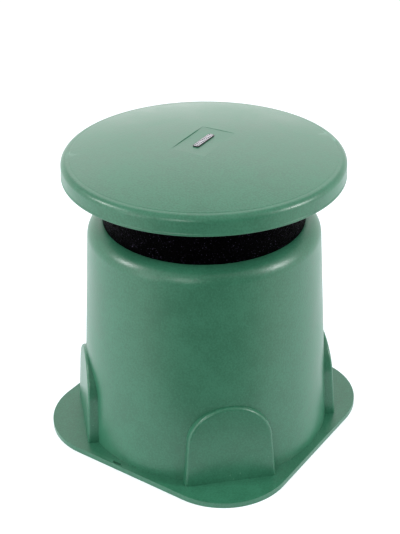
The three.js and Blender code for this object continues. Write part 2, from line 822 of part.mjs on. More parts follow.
coverScrewPlaces.forEach((at, i) => {
  const seat = COVER_LOW - REST;
  place(`cover_screw_${i + 1}`, screw(M4_R, 3.9, seat + 17, seat, seat - 2.8), platedSteel, at);
});

place('gland_body', glandBody(), blackPlastic, GLAND);
place('gland_seal', glandSeal(), rubberBlack, GLAND);
place('gland_nut', glandNut(), blackPlastic, GLAND);
place('gland_locknut', glandLocknut(), blackPlastic, GLAND);
place('selector_switch', selectorSwitch(), blackPlastic, SELECTOR);
place('selector_nut', selectorNut(), platedSteel, SELECTOR);
place('selector_spindle', selectorSpindle(), platedSteel, SELECTOR);
place('selector_knob', selectorKnob(), blackPlastic, SELECTOR);
place('transformer_core', transformerCore(), silicon, TRANSFORMER);
place('transformer_coil', transformerCoil(), clothTan, TRANSFORMER);
place('transformer_bracket', transformerBracket(), platedSteel, TRANSFORMER);

strapPlaces.forEach((at, i) => {
  const seat = STAND_TOP + STRAP + 2 * REST;
  place(`transformer_screw_${i + 1}`, screw(M4_R, 3.9, seat - 8, seat, seat + 2.5), platedSteel, at);
});

place('terminal_block', terminalBlock(), ceramic, BLOCK);

POLES.forEach((y, i) => {
  const at = BLOCK.clone().add({ x: 0, y });
  const low = STAND_TOP + REST + 9.2;
  place(`terminal_screw_${i + 1}`, rod(2.9, low, low + 5, FACETS_SCREW), brass, at);
});

const blockTop = STAND_TOP + 2 * REST + BLOCK_SIZE.z;
place('block_screw', screw(M4_R, 3.9, COVER_TOP, blockTop, blockTop + 2.5), platedSteel, BLOCK);

export default speaker;
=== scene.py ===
# %% [markdown]
# # A garden loudspeaker and everything inside it
#
# The loudspeaker is a green moulded drum on a square foot flange. A round cap overhangs it, and black
# foam closes the gap that the sound comes out of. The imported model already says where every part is
# and how it moves, so this lesson loads that model as a fixed frame and dresses each part: a finer
# skin with rounded edges, threads, pores and recesses, and a finish made of nodes.
# Everything is drawn in millimetres and turned into metres in one place, when a mesh is made.

import json
import math

import bmesh
import bpy
from mathutils import Matrix, Vector, noise


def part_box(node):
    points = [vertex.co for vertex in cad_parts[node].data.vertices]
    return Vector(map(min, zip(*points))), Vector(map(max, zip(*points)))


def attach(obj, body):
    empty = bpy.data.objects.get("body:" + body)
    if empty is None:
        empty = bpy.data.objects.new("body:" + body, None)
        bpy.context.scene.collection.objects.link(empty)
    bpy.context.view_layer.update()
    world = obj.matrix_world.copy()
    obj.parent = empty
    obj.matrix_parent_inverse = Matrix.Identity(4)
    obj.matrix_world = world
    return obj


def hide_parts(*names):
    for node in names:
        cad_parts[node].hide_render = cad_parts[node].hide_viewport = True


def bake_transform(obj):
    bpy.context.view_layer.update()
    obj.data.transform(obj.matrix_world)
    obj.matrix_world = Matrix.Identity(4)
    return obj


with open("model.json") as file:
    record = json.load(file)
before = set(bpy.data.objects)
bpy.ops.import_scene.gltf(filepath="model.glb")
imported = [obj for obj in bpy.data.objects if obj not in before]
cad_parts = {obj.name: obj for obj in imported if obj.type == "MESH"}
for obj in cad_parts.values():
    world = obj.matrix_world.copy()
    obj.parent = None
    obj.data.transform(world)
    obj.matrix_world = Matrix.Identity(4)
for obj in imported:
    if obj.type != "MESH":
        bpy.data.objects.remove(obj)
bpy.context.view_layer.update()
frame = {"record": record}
record = frame["record"]
MM = 0.001
QUARTER = math.pi / 2
ROUND = 2 * math.pi

# %% Ask the frame where a part is
slot_of = {part["node"]: part["material_slot"] for part in record["subparts"]}
body_of = {node: body for body, nodes in record["behaviour"]["bodies"].items() for node in nodes}


def measure(node):
    """Lowest and highest corner of a part at rest, in millimetres."""
    low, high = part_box(node)
    return low / MM, high / MM


def middle(node):
    """Middle of a part at rest, in millimetres."""
    low, high = measure(node)
    return (low + high) / 2


def axis_of(node):
    """Where a part's upright axis stands."""
    return tuple(middle(node)[:2])


def reach(node):
    """Outer radius of a round part, in millimetres."""
    low, high = measure(node)
    return (high.y - low.y) / 2


for name in ("enclosure_body", "top_cap", "foam_ring"):
    print(name, [round(side, 1) for side in measure(name)[1]])

# %% [markdown]
# ## The camera
#
# The camera looks down at the loudspeaker from a corner of its flange, from about a metre and a half.
# The camera could be aimed with a constraint, but three angles and a distance say the same thing and
# stay readable. A long lens keeps the drum's sides nearly parallel, and a small shift frames it.

# %% Camera
EYE_TURN = math.radians(214.25)
EYE_RISE = math.radians(31.107)
EYE_ROLL = math.radians(-0.389)
EYE_AWAY = 1.4265
AIM = Vector((0, 0, 0.18))


def aim_camera(turn, rise, roll, away):
    """Places the camera on a sphere round the aim point, leaning by the roll."""
    back = Vector((math.cos(turn) * math.cos(rise), math.sin(turn) * math.cos(rise), math.sin(rise)))
    level = Vector((0, 0, 1)).cross(back).normalized()
    above = back.cross(level)
    right = math.cos(roll) * level + math.sin(roll) * above
    up = math.cos(roll) * above - math.sin(roll) * level
    matrix = Matrix((right, up, back)).transposed().to_4x4()
    matrix.translation = AIM + back * away
    return matrix


lens = bpy.data.cameras.new("camera")
lens.lens = 75.05
lens.sensor_width = 36
lens.shift_x = -0.0088
lens.shift_y = 0.0497
camera = bpy.data.objects.new("camera", lens)
camera.matrix_world = aim_camera(EYE_TURN, EYE_RISE, EYE_ROLL, EYE_AWAY)
bpy.context.scene.collection.objects.link(camera)
bpy.context.scene.camera = camera
print("camera at", [round(value, 3) for value in camera.matrix_world.translation])

# %% [markdown]
# ## Light and floor
#
# The product stands on a pale table in a white studio: bright walls behind it and at its sides, a dark
# room behind the camera, and soft lights round it. The walls could be big white panels, but a world
# whose brightness depends on the direction gives the same reflections with no geometry. The camera
# itself sees plain white past the table, so the backdrop stays even. The soft lights are real area
# lights, because their narrow highlights on the shoulder and the cap's edge tell the eye how round
# those edges are. Nodes are added one by one, so two small helpers come first.

# %% Helpers for node trees
def feed(tree, socket, value):
    """Links a socket to another one, or sets its value."""
    if isinstance(value, bpy.types.NodeSocket):
        tree.links.new(value, socket)
    else:
        socket.default_value = value


def count(tree, operation, first, second=0.5):
    """One step of arithmetic."""
    step = tree.nodes.new("ShaderNodeMath")
    step.operation = operation
    feed(tree, step.inputs[0], first)
    feed(tree, step.inputs[1], second)
    return step.outputs[0]


print("helpers ready:", feed.__name__, count.__name__)

# %% World
DARKEST = math.radians(219)
FRONT = Vector((math.cos(DARKEST), math.sin(DARKEST), 0))
WALL_LIGHT = [(0.0, 2.2), (0.25, 1.22), (0.5, 1.45), (0.7, 1.4), (0.82, 0.74), (0.93, 0.28), (1.0, 0.24)]
CEILING = 0.6
BACKDROP = 1.05


def studio_world(front, levels):
    """A sky that is brightest behind the object and darkest behind the camera."""
    world = bpy.data.worlds.new("studio")
    world.use_nodes = True
    tree = world.node_tree
    direction = tree.nodes.new("ShaderNodeTexCoord").outputs["Generated"]
    facing = tree.nodes.new("ShaderNodeVectorMath")
    facing.operation = "DOT_PRODUCT"
    feed(tree, facing.inputs[0], direction)
    feed(tree, facing.inputs[1], front)
    share = tree.nodes.new("ShaderNodeMapRange")
    feed(tree, share.inputs["Value"], facing.outputs["Value"])
    feed(tree, share.inputs["From Min"], -1)
    curve = tree.nodes.new("ShaderNodeFloatCurve")
    feed(tree, curve.inputs["Value"], share.outputs["Result"])
    brightest = max(level for _, level in levels)
    points = curve.mapping.curves[0].points
    for _ in levels[2:]:
        points.new(0.5, 0.5)
    for point, (at, level) in zip(points, levels):
        point.location = (at, level / brightest)
    curve.mapping.update()
    wall = count(tree, "MULTIPLY", curve.outputs["Value"], brightest)
    height = tree.nodes.new("ShaderNodeSeparateXYZ")
    feed(tree, height.inputs["Vector"], direction)
    ceiling = tree.nodes.new("ShaderNodeMapRange")
    feed(tree, ceiling.inputs["Value"], height.outputs["Z"])
    feed(tree, ceiling.inputs["To Min"], 1.0)
    feed(tree, ceiling.inputs["To Max"], CEILING)
    plain = tree.nodes.new("ShaderNodeMix")
    feed(tree, plain.inputs["Factor"], tree.nodes.new("ShaderNodeLightPath").outputs["Is Camera Ray"])
    feed(tree, plain.inputs["A"], count(tree, "MULTIPLY", wall, ceiling.outputs["Result"]))
    feed(tree, plain.inputs["B"], BACKDROP)
    sky = tree.nodes["Background"]
    feed(tree, sky.inputs["Color"], (1, 1, 1, 1))
    feed(tree, sky.inputs["Strength"], plain.outputs["Result"])
    return world


bpy.context.scene.world = studio_world(FRONT, WALL_LIGHT)
bpy.context.scene.view_settings.view_transform = "Standard"
print("wall light", WALL_LIGHT)

# %% Soft lights
def soft_light(name, turn, rise, away, wide, tall, power):
    """A rectangular light on a sphere round the object, facing it: degrees, metres and watts."""
    data = bpy.data.lights.new(name, "AREA")
    data.shape = "RECTANGLE"
    data.size = wide
    data.size_y = tall
    data.energy = power
    light = bpy.data.objects.new(name, data)
    light.matrix_world = aim_camera(math.radians(turn), math.radians(rise), 0, away)
    bpy.context.scene.collection.objects.link(light)
    return light


soft_light("left_softbox", 132, 34, 1.7, 0.2, 0.4, 9)
soft_light("left_panel", 162, 12, 1.9, 0.7, 1.1, 4.8)
soft_light("right_softbox", 288, 28, 1.7, 0.2, 0.4, 13)
soft_light("front_strip", 195, 25, 1.8, 0.3, 0.5, 5)
soft_light("back_softbox", 34, 45, 1.4, 1.4, 0.7, 3)

# %% Table
TABLE_EDGE = 0.30
TABLE_RADIUS = 1.6
TABLE_GAP = 0.0002


def pale_table(steps=96):
    """A round white table top, set back so that its edge is close to the object's front."""
    centre = FRONT * (TABLE_EDGE - TABLE_RADIUS)
    angles = [ROUND * i / steps for i in range(steps)]
    corners = [centre + TABLE_RADIUS * Vector((math.cos(a), math.sin(a), 0)) for a in angles]
    mesh = bpy.data.meshes.new("table")
    mesh.from_pydata(corners, [], [tuple(range(steps))])
    table = bpy.data.objects.new("table", mesh)
    table.location.z = -TABLE_GAP
    paint = bpy.data.materials.new("table_white")
    paint.use_nodes = True
    shader = paint.node_tree.nodes["Principled BSDF"]
    shader.inputs["Base Color"].default_value = (0.76, 0.80, 0.84, 1)
    shader.inputs["Roughness"].default_value = 1.0
    shader.inputs["Specular IOR Level"].default_value = 0.0
    shader.inputs["Emission Color"].default_value = (0.97, 0.99, 1.0, 1)
    shader.inputs["Emission Strength"].default_value = 0.36
    mesh.materials.append(paint)
    bpy.context.scene.collection.objects.link(table)
    return table


floor = pale_table()
print("table of", 2 * TABLE_RADIUS, "m, its edge", TABLE_EDGE, "m in front of the axis")

# %% [markdown]
# ## Finishes
#
# Every finish here is one recipe with other numbers. A slow noise gives the cloudy colour that no
# moulding or casting is free of, and a fine noise gives the grain, both in the gloss and in the
# relief. Where edges stick out, the recipe lets a paler colour through: wear, and on the green shell
# also a painted highlight along its rounded edges. It could be done with image textures, but noise
# in the object's own space needs no unwrapping and never shows a seam.

# %% Patterns and mixtures
def spread(tree, value, start, end, low=0.0, high=1.0):
    """Value, taken from start..end to low..high with soft ends."""
    step = tree.nodes.new("ShaderNodeMapRange")
    step.interpolation_type = "SMOOTHSTEP"
    names = ("Value", "From Min", "From Max", "To Min", "To Max")
    for name, given in zip(names, (value, start, end, low, high)):
        feed(tree, step.inputs[name], given)
    return step.outputs["Result"]


def tinted(tree, share, first, second):
    """A colour between two colours."""
    step = tree.nodes.new("ShaderNodeMix")
    step.data_type = "RGBA"
    feed(tree, step.inputs[0], share)
    for socket, colour in zip((step.inputs[6], step.inputs[7]), (first, second)):
        feed(tree, socket, colour if isinstance(colour, bpy.types.NodeSocket) else (*colour, 1))
    return step.outputs[2]


def cloudy(tree, place, per_metre, detail=3.0, warp=0.0):
    """Smooth noise with so many lumps per metre."""
    step = tree.nodes.new("ShaderNodeTexNoise")
    feed(tree, step.inputs["Vector"], place)
    step.inputs["Scale"].default_value = per_metre
    step.inputs["Detail"].default_value = detail
    step.inputs["Distortion"].default_value = warp
    return step.outputs["Fac"]


def bands(tree, place, axis, pitch, warp=0.0):
    """Even bands across one axis, a pitch in millimetres apart."""
    step = tree.nodes.new("ShaderNodeTexWave")
    step.bands_direction = axis
    feed(tree, step.inputs["Vector"], place)
    step.inputs["Scale"].default_value = 0.1 * math.pi / (pitch * MM)
    step.inputs["Distortion"].default_value = warp
    step.inputs["Detail"].default_value = 1.0
    return step.outputs["Fac"]


def cells(tree, place, per_metre, feature):
    """Distances in a foam of cells: to a cell's middle, or to the strut between two cells."""
    step = tree.nodes.new("ShaderNodeTexVoronoi")
    step.feature = feature
    feed(tree, step.inputs["Vector"], place)
    step.inputs["Scale"].default_value = per_metre
    return step.outputs["Distance"]


# %% The recipe for a finish
finishes = {}


def finish(slot, dark, light, gloss, grain, relief, metallic=0.0, wear_and_edge_sheen=None, scuffs=0.0,
           pattern=None, painted_glints=None):
    """A finish with cloudy colour, fine grain in gloss and relief, and paler edges and scuffs. The pale
    edges show wear, and on the green shell also a painted highlight along its rounded edges.

    gloss is the least and the most roughness, grain the lumps per metre, and relief the height
    of the surface's pattern in millimetres. The glints are sparse bright specks painted into the
    colour as highlights.
    """
    material = bpy.data.materials.new(slot)
    material.use_nodes = True
    tree = material.node_tree
    shader = tree.nodes["Principled BSDF"]
    shader.inputs["Metallic"].default_value = metallic
    place = tree.nodes.new("ShaderNodeTexCoord").outputs["Object"]
    clouds = cloudy(tree, place, 22.0, 5.0, 0.4)
    grains = cloudy(tree, place, grain, 2.0)
    height = grains if pattern is None else pattern(tree, place, grains)
    share = count(tree, "ADD", count(tree, "MULTIPLY", clouds, 0.35), count(tree, "MULTIPLY", height, 0.65))
    colour = tinted(tree, spread(tree, share, 0.36, 0.64), dark, light)
    rough = spread(tree, count(tree, "MULTIPLY", count(tree, "ADD", clouds, height), 0.5), 0.3, 0.7, *gloss)
    # Paler colour where edges stick out: wear, and with the green shell's lit colour a painted highlight on
    # its rounded edges.
    if wear_and_edge_sheen is not None:
        edges = tree.nodes.new("ShaderNodeNewGeometry").outputs["Pointiness"]
        edge_wear_and_sheen = count(tree, "MULTIPLY", spread(tree, edges, 0.52, 0.62), spread(tree, clouds, 0.35, 0.7))
        colour = tinted(tree, count(tree, "MULTIPLY", edge_wear_and_sheen, 0.5), colour, wear_and_edge_sheen)
    if scuffs > 0:
        stretched = tree.nodes.new("ShaderNodeMapping")
        feed(tree, stretched.inputs["Vector"], place)
        stretched.inputs["Rotation"].default_value = (0.3, 0.5, 0.7)
        stretched.inputs["Scale"].default_value = (1.0, 5.0, 2.0)
        streaks = spread(tree, cloudy(tree, stretched.outputs["Vector"], 62.0, 1.0), 0.75, 0.82)
        patches = count(tree, "MULTIPLY", streaks, spread(tree, clouds, 0.5, 0.62))
        marks = count(tree, "MULTIPLY", patches, scuffs)
        colour = tinted(tree, marks, colour, wear_and_edge_sheen)
        rough = count(tree, "ADD", rough, count(tree, "MULTIPLY", marks, 0.2))
    # Sparse bright specks painted into the colour: a painted highlight, as of light caught by foam struts.
    if painted_glints is not None:
        painted_glint_mask = spread(tree, cloudy(tree, place, 1000, 0.0), 0.76, 0.83)
        colour = tinted(tree, painted_glint_mask, colour, painted_glints)
    bump = tree.nodes.new("ShaderNodeBump")
    bump.inputs["Strength"].default_value = 1.0
    bump.inputs["Distance"].default_value = relief * MM
    feed(tree, bump.inputs["Height"], height)
    feed(tree, shader.inputs["Base Color"], colour)
    feed(tree, shader.inputs["Roughness"], rough)
    feed(tree, shader.inputs["Normal"], bump.outputs["Normal"])
    finishes[slot] = material
    return shader


# %% [markdown]
# ### Plastic, rubber and foam
#
# The shell is moulded in coloured plastic with a satin face: the mould was lightly etched, so
# highlights are wide and break up into fine grain. The foam is open-celled: nearly black, with struts
# that catch a little light, and that light is painted into its colour as sparse bright specks, a
# painted highlight. It could be a volume full of struts, but that is slow and noisy, so its cells
# are drawn twice, in the mesh for the shape and here for the finer struts.

# %% Plastic, rubber and foam
def foam_struts(tree, place, grains):
    """Struts stand up between the cells of the foam."""
    struts = spread(tree, cells(tree, place, 620, "DISTANCE_TO_EDGE"), 0.0, 0.16, 1.0, 0.0)
    return count(tree, "MULTIPLY", struts, grains)


def soft_waves(tree, place, grains):
    """A faint wave over the grain, as thick mouldings have."""
    waves = cloudy(tree, place, 90, 1.0)
    return count(tree, "ADD", count(tree, "MULTIPLY", grains, 0.8), count(tree, "MULTIPLY", waves, 0.2))


# The shell's pale edge colour is the colour of its lit top: a painted highlight along rounded edges besides
# wear; its scuffs take the same colour.
finish("green_shell", (0.0225, 0.122, 0.067), (0.032, 0.160, 0.091), (0.28, 0.38), 450, 0.16,
       wear_and_edge_sheen=(0.17, 0.36, 0.27), scuffs=0.28, pattern=soft_waves)
finish("black_moulding", (0.009, 0.009, 0.010), (0.020, 0.020, 0.021), (0.40, 0.56), 1500, 0.05,
       wear_and_edge_sheen=(0.024, 0.024, 0.025))
finish("rubber", (0.006, 0.006, 0.006), (0.014, 0.014, 0.014), (0.62, 0.82), 900, 0.06)
# The foam's sparse bright specks are painted highlights in its colour.
foam_shader = finish("foam", (0.0001, 0.0001, 0.0002), (0.0010, 0.0009, 0.0014), (0.4, 0.7), 500, 0.4,
                     pattern=foam_struts, painted_glints=(0.10, 0.085, 0.14))
foam_shader.inputs["Specular IOR Level"].default_value = 0.01
finish("red_sleeve", (0.30, 0.010, 0.008), (0.38, 0.016, 0.012), (0.35, 0.5), 500, 0.02)
finish("black_sleeve", (0.006, 0.006, 0.006), (0.012, 0.012, 0.012), (0.35, 0.5), 500, 0.02)
print("plastics", sorted(finishes))

# %% [markdown]
# ### Metal
#
# Plated screws and plates are bright zinc with a slightly clouded gloss. The transformer's core is a
# stack of thin sheets, so its finish has a band for each sheet, and the voice coil has one for each
# turn of wire. Paint on the driver's frame is a thin powder coat with an orange-peel face. Metal could
# be a pale grey paint, but only the metallic setting mirrors the room, and then each metal needs no
# more than its own two colours.

# %% Metal
def sheet_edges(tree, place, grains):
    """One band for each sheet of the core."""
    shade = spread(tree, grains, 0.2, 0.8, 0.6, 1.0)
    return count(tree, "MULTIPLY", bands(tree, place, "Y", 0.5, 0.3), shade)


def wire_turns(tree, place, grains):
    """One band for each turn of wire."""
    return count(tree, "MULTIPLY", bands(tree, place, "Z", 0.32), spread(tree, grains, 0.2, 0.8, 0.8, 1.0))


finish("zinc_steel", (0.52, 0.53, 0.55), (0.66, 0.67, 0.69), (0.24, 0.40), 1300, 0.012, metallic=1.0,
       wear_and_edge_sheen=(0.78, 0.78, 0.78))
finish("core_iron", (0.10, 0.10, 0.11), (0.24, 0.24, 0.26), (0.4, 0.6), 900, 0.12, metallic=0.8,
       wear_and_edge_sheen=(0.35, 0.25, 0.18), pattern=sheet_edges)
finish("copper", (0.45, 0.13, 0.05), (0.72, 0.27, 0.12), (0.25, 0.4), 900, 0.08, metallic=1.0,
       pattern=wire_turns)
finish("brass", (0.52, 0.34, 0.11), (0.70, 0.50, 0.19), (0.22, 0.36), 1200, 0.012, metallic=1.0,
       wear_and_edge_sheen=(0.8, 0.62, 0.3))
finish("badge", (0.36, 0.36, 0.39), (0.48, 0.47, 0.51), (0.25, 0.40), 1500, 0.012, metallic=0.6,
       wear_and_edge_sheen=(0.8, 0.8, 0.82))
finish("frame_paint", (0.010, 0.010, 0.011), (0.022, 0.022, 0.024), (0.34, 0.5), 700, 0.06, metallic=0.2,
       wear_and_edge_sheen=(0.30, 0.30, 0.31))
print("metals", [slot for slot in finishes if "steel" in slot or "iron" in slot])

# %% [markdown]
# ### Paper, cloth, ferrite and ceramic
#
# The cone is felted paper pulp, so its grain is long and fibrous. The spider is woven cloth dipped in
# resin, where two crossed sets of bands make the weave. Ferrite and ceramic are fired powders: one
# dull and dark, the other pale with a faint speckle. Each could be a picture of the real stuff, but
# bands and stretched noise need only a few numbers, and those can be tuned.

# %% Paper, cloth, ferrite and ceramic
def weave(tree, place, grains):
    """Two sets of threads across each other."""
    across = bands(tree, place, "X", 0.9, 0.4)
    along = bands(tree, place, "Y", 0.9, 0.4)
    threads = count(tree, "ADD", count(tree, "MULTIPLY", across, 0.5), count(tree, "MULTIPLY", along, 0.5))
    return count(tree, "MULTIPLY", threads, spread(tree, grains, 0.2, 0.8, 0.8, 1.0))


def fibres(tree, place, grains):
    """Long felted fibres over the grain."""
    stretched = tree.nodes.new("ShaderNodeMapping")
    feed(tree, stretched.inputs["Vector"], place)
    stretched.inputs["Scale"].default_value = (1.0, 4.0, 4.0)
    threads = cloudy(tree, stretched.outputs["Vector"], 260, 4.0, 1.5)
    return count(tree, "ADD", count(tree, "MULTIPLY", grains, 0.4), count(tree, "MULTIPLY", threads, 0.6))


def tape_laps(tree, place, grains):
    """The overlapping edges of wound tape."""
    laps = bands(tree, place, "Z", 7.0, 0.5)
    return count(tree, "ADD", count(tree, "MULTIPLY", laps, 0.7), count(tree, "MULTIPLY", grains, 0.3))


finish("paper", (0.018, 0.018, 0.020), (0.045, 0.045, 0.050), (0.75, 0.92), 700, 0.10, pattern=fibres)
finish("tan_cloth", (0.30, 0.17, 0.05), (0.48, 0.30, 0.11), (0.6, 0.8), 700, 0.12, pattern=weave)
finish("winding_tape", (0.50, 0.33, 0.05), (0.66, 0.47, 0.10), (0.22, 0.36), 400, 0.06, pattern=tape_laps)
finish("ferrite", (0.030, 0.031, 0.034), (0.060, 0.061, 0.066), (0.5, 0.7), 1600, 0.05,
       wear_and_edge_sheen=(0.12, 0.12, 0.12))
finish("ceramic", (0.66, 0.62, 0.52), (0.80, 0.77, 0.69), (0.35, 0.55), 1100, 0.03,
       wear_and_edge_sheen=(0.72, 0.66, 0.55))
unfinished = sorted(set(slot_of.values()) - set(finishes))
print("finishes", len(finishes), "still missing", unfinished)

# %% [markdown]
# ## Tools for making shapes
#
# Nearly everything in the loudspeaker is either turned round an axis or cut from a slab, so two makers
# do most of the work. Corners are rounded in the outline itself, with true arcs, because a bevel on a
# finished mesh is hard to steer. Boolean cuts come last, and only for holes and joints that a lathe
# can't make.

# %% Outlines
def soften(corners, steps=4):
    """An outline whose corners, each given as x, y and radius, are rounded by arcs."""
    outline = []
    for i, (x, y, radius) in enumerate(corners):
        corner = Vector((x, y))
        if radius == 0:
            outline.append((x, y))
            continue
        back = (Vector(corners[i - 1][:2]) - corner).normalized()
        ahead = (Vector(corners[(i + 1) % len(corners)][:2]) - corner).normalized()
        half = back.angle(ahead) / 2
        tangent = radius / math.tan(half)
        for k in range(steps + 1):
            t = k / steps
            weights = ((1 - t) ** 2, 2 * math.sin(half) * t * (1 - t), t * t)
            places = (corner + back * tangent, corner, corner + ahead * tangent)
            point = sum((p * w for p, w in zip(places, weights)), Vector((0, 0))) / sum(weights)
            outline.append(tuple(point))
    return outline


def box_outline(wide, tall, radius=0.0, x=0.0, y=0.0, steps=4):
    """A rectangle with round corners."""
    half_wide, half_tall = wide / 2, tall / 2
    signs = ((-1, -1), (1, -1), (1, 1), (-1, 1))
    return soften([(x + a * half_wide, y + b * half_tall, radius) for a, b in signs], steps)


def round_outline(radius, x=0.0, y=0.0, steps=32):
    """A circle."""
    angles = [ROUND * i / steps for i in range(steps)]
    return [(x + radius * math.cos(a), y + radius * math.sin(a)) for a in angles]


def ring_section(inner, outer, low, high, *edges):
    """The section of a ring, or of a rod if inner is 0, with one rounding or four.

    The corners run from inner low by outer low and outer high to inner high.
    """
    corners = ((inner, low), (outer, low), (outer, high), (inner, high))
    rounds = edges if len(edges) == 4 else edges * 4
    return [(*corner, edge) for corner, edge in zip(corners, rounds)]


def flowing(points, steps=5):
    """A smooth curve through the points, in two or three dimensions."""
    path = [Vector(point) for point in points]
    path = [2 * path[0] - path[1], *path, 2 * path[-1] - path[-2]]
    curve = []
    for p, q, r, s in zip(path, path[1:], path[2:], path[3:]):
        for k in range(steps):
            t = k / steps
            bend = (2 * p - 5 * q + 4 * r - s) * t * t + (3 * q - p - 3 * r + s) * t ** 3
            curve.append((2 * q + (r - p) * t + bend) / 2)
    curve.append(path[-2])
    return curve


def inset(outline, distance):
    """The outline, drawn anticlockwise, moved inwards by a small distance."""
    moved = []
    for i, point in enumerate(outline):
        here = Vector(point)
        came = (here - Vector(outline[i - 1])).normalized()
        goes = (Vector(outline[(i + 1) % len(outline)]) - here).normalized()
        tangent = (came + goes).normalized()
        stretch = distance / max(0.3, tangent.dot(goes))
        moved.append((here.x - tangent.y * stretch, here.y + tangent.x * stretch))
    return moved


print("arc points on a softened square", len(box_outline(10, 10, 2)))

# %% Makers
def new_piece(name, points, faces):
    """A mesh object from points in millimetres, with its faces turned outwards."""
    shape = bmesh.new()
    vertices = [shape.verts.new(Vector(point) * MM) for point in points]
    for face in faces:
        shape.faces.new([vertices[i] for i in face])
    bmesh.ops.recalc_face_normals(shape, faces=shape.faces)
    mesh = bpy.data.meshes.new(name)
    shape.to_mesh(mesh)
    shape.free()
    piece = bpy.data.objects.new(name, mesh)
    bpy.context.scene.collection.objects.link(piece)
    return piece


def wrapped(rings, closed):
    """Faces between rings of point numbers; a ring of one point is a pole."""
    faces = []
    pairs = list(zip(rings, rings[1:]))
    if closed:
        pairs.append((rings[-1], rings[0]))
    for here, there in pairs:
        steps = max(len(here), len(there))
        if steps == 1:
            continue
        for i in range(steps):
            j = (i + 1) % steps
            face = (here[i % len(here)], here[j % len(here)], there[j % len(there)], there[i % len(there)])
            faces.append(tuple(dict.fromkeys(face)))
    return faces


def turned(name, outline, steps=128, at=(0, 0), bend=None):
    """Turns an outline of radius and height round an upright axis.

    bend(radius, height, angle) may give another radius, for threads and flutes.
    """
    points = []
    rings = []
    for radius, height in outline:
        turns = 1 if radius < 1e-6 else steps
        rings.append(list(range(len(points), len(points) + turns)))
        for i in range(turns):
            angle = ROUND * i / steps
            r = radius if bend is None else bend(radius, height, angle)
            points.append((at[0] + r * math.cos(angle), at[1] + r * math.sin(angle), height))
    on_axis = outline[0][0] < 1e-6 and outline[-1][0] < 1e-6
    return new_piece(name, points, wrapped(rings, not on_axis))


def stacked(name, layers):
    """Joins outlines with the same number of points, each given with its height, into a solid."""
    points = []
    rings = []
    for outline, height in layers:
        rings.append(list(range(len(points), len(points) + len(outline))))
        points.extend((x, y, height) for x, y in outline)
    faces = wrapped(rings, False) + [tuple(reversed(rings[0])), tuple(rings[-1])]
    return new_piece(name, points, faces)


def slab(name, outline, low, high, edge=0.0, steps=3, under=None):
    """A plate with rounded edges above and below; under is the lower rounding if it differs."""
    if edge == 0:
        return stacked(name, [(outline, low), (outline, high)])
    layers = []
    under = edge if under is None else under
    for k in range(steps + 1):
        angle = QUARTER * k / steps
        layers.append((inset(outline, under * (1 - math.sin(angle))), low + under * (1 - math.cos(angle))))
    for k in range(steps, -1, -1):
        angle = QUARTER * k / steps
        layers.append((inset(outline, edge * (1 - math.sin(angle))), high - edge * (1 - math.cos(angle))))
    return stacked(name, layers)


def tube(name, path, radius, steps=16, twist=None):
    """A round lead along a smooth path, with closed ends; twist(along, angle) may give another radius."""
    side = Vector((1, 0, 0))
    points = []
    rings = []
    for i, here in enumerate(path):
        ahead = (path[min(i + 1, len(path) - 1)] - path[max(i - 1, 0)]).normalized()
        across = (side - ahead * side.dot(ahead)).normalized()
        over = ahead.cross(across)
        rings.append(list(range(len(points), len(points) + steps)))
        for k in range(steps):
            angle = ROUND * k / steps
            r = radius if twist is None else twist(i, angle)
            points.append(here + (across * math.cos(angle) + over * math.sin(angle)) * r)
    faces = wrapped(rings, False) + [tuple(reversed(rings[0])), tuple(rings[-1])]
    return new_piece(name, points, faces)


print("makers ready:", new_piece.__name__, turned.__name__, slab.__name__, tube.__name__)

# %% Cutting, joining and dressing
def carve(piece, *tools, operation="DIFFERENCE"):
    """Cuts the tools out of a piece, or joins or crosses them with it, and uses the tools up."""
    for tool in tools:
        step = piece.modifiers.new("carve", "BOOLEAN")
        step.operation = operation
        step.solver = "EXACT"
        step.object = tool
        shaped = piece.evaluated_get(bpy.context.evaluated_depsgraph_get())
        mesh = bpy.data.meshes.new_from_object(shaped)
        piece.modifiers.clear()
        piece.data = mesh
        bpy.data.objects.remove(tool)
    return piece


def gathered(pieces):
    """Several pieces that don't touch, as one object."""
    shape = bmesh.new()
    for piece in pieces:
        piece.data.transform(piece.matrix_world)
        shape.from_mesh(piece.data)
    first = pieces[0]
    first.matrix_world = Matrix.Identity(4)
    shape.to_mesh(first.data)
    shape.free()
    for piece in pieces[1:]:
        bpy.data.objects.remove(piece)
    return first


def placed(piece, at=(0, 0, 0), turn=0.0, axis="Z"):
    """Turns a piece's mesh round an axis through the origin, then moves it to a place in millimetres."""
    move = Matrix.Translation([distance * MM for distance in at])
    piece.data.transform(move @ Matrix.Rotation(turn, 4, axis))
    return piece


def around(number, radius, start=0.0):
    """Places evenly spaced on a circle."""
    angles = [start + ROUND * i / number for i in range(number)]
    return [(radius * math.cos(angle), radius * math.sin(angle)) for angle in angles]


def drills(places, radius, low, high, steps=24):
    """Round cutters at several places, as one tool."""
    return gathered([slab("drill", round_outline(radius, x, y, steps), low, high) for x, y in places])


def polish(piece, angle=30):
    """Smooth shading that keeps sharp corners sharp and flat faces flat."""
    piece.data.shade_smooth()
    piece.data.set_sharp_from_angle(angle=math.radians(angle))
    even = piece.modifiers.new("even_faces", "WEIGHTED_NORMAL")
    even.keep_sharp = True
    return piece


def coat(piece, slot):
    """Gives a piece its finish and says which of the model's finishes it is."""
    piece.data.materials.clear()
    piece.data.materials.append(finishes[slot])
    return polish(piece)


def dress(piece, node, slot=None):
    """Finishes a piece, lets it ride on its part's body and makes it stand for that part."""
    coat(piece, slot or slot_of[node])
    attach(piece, body_of[node])
    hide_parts(node)
    size = [round(side / MM, 1) for side in piece.dimensions]
    print(f"{piece.name}: {len(piece.data.polygons)} faces, {size} mm, for {node}")
    return piece


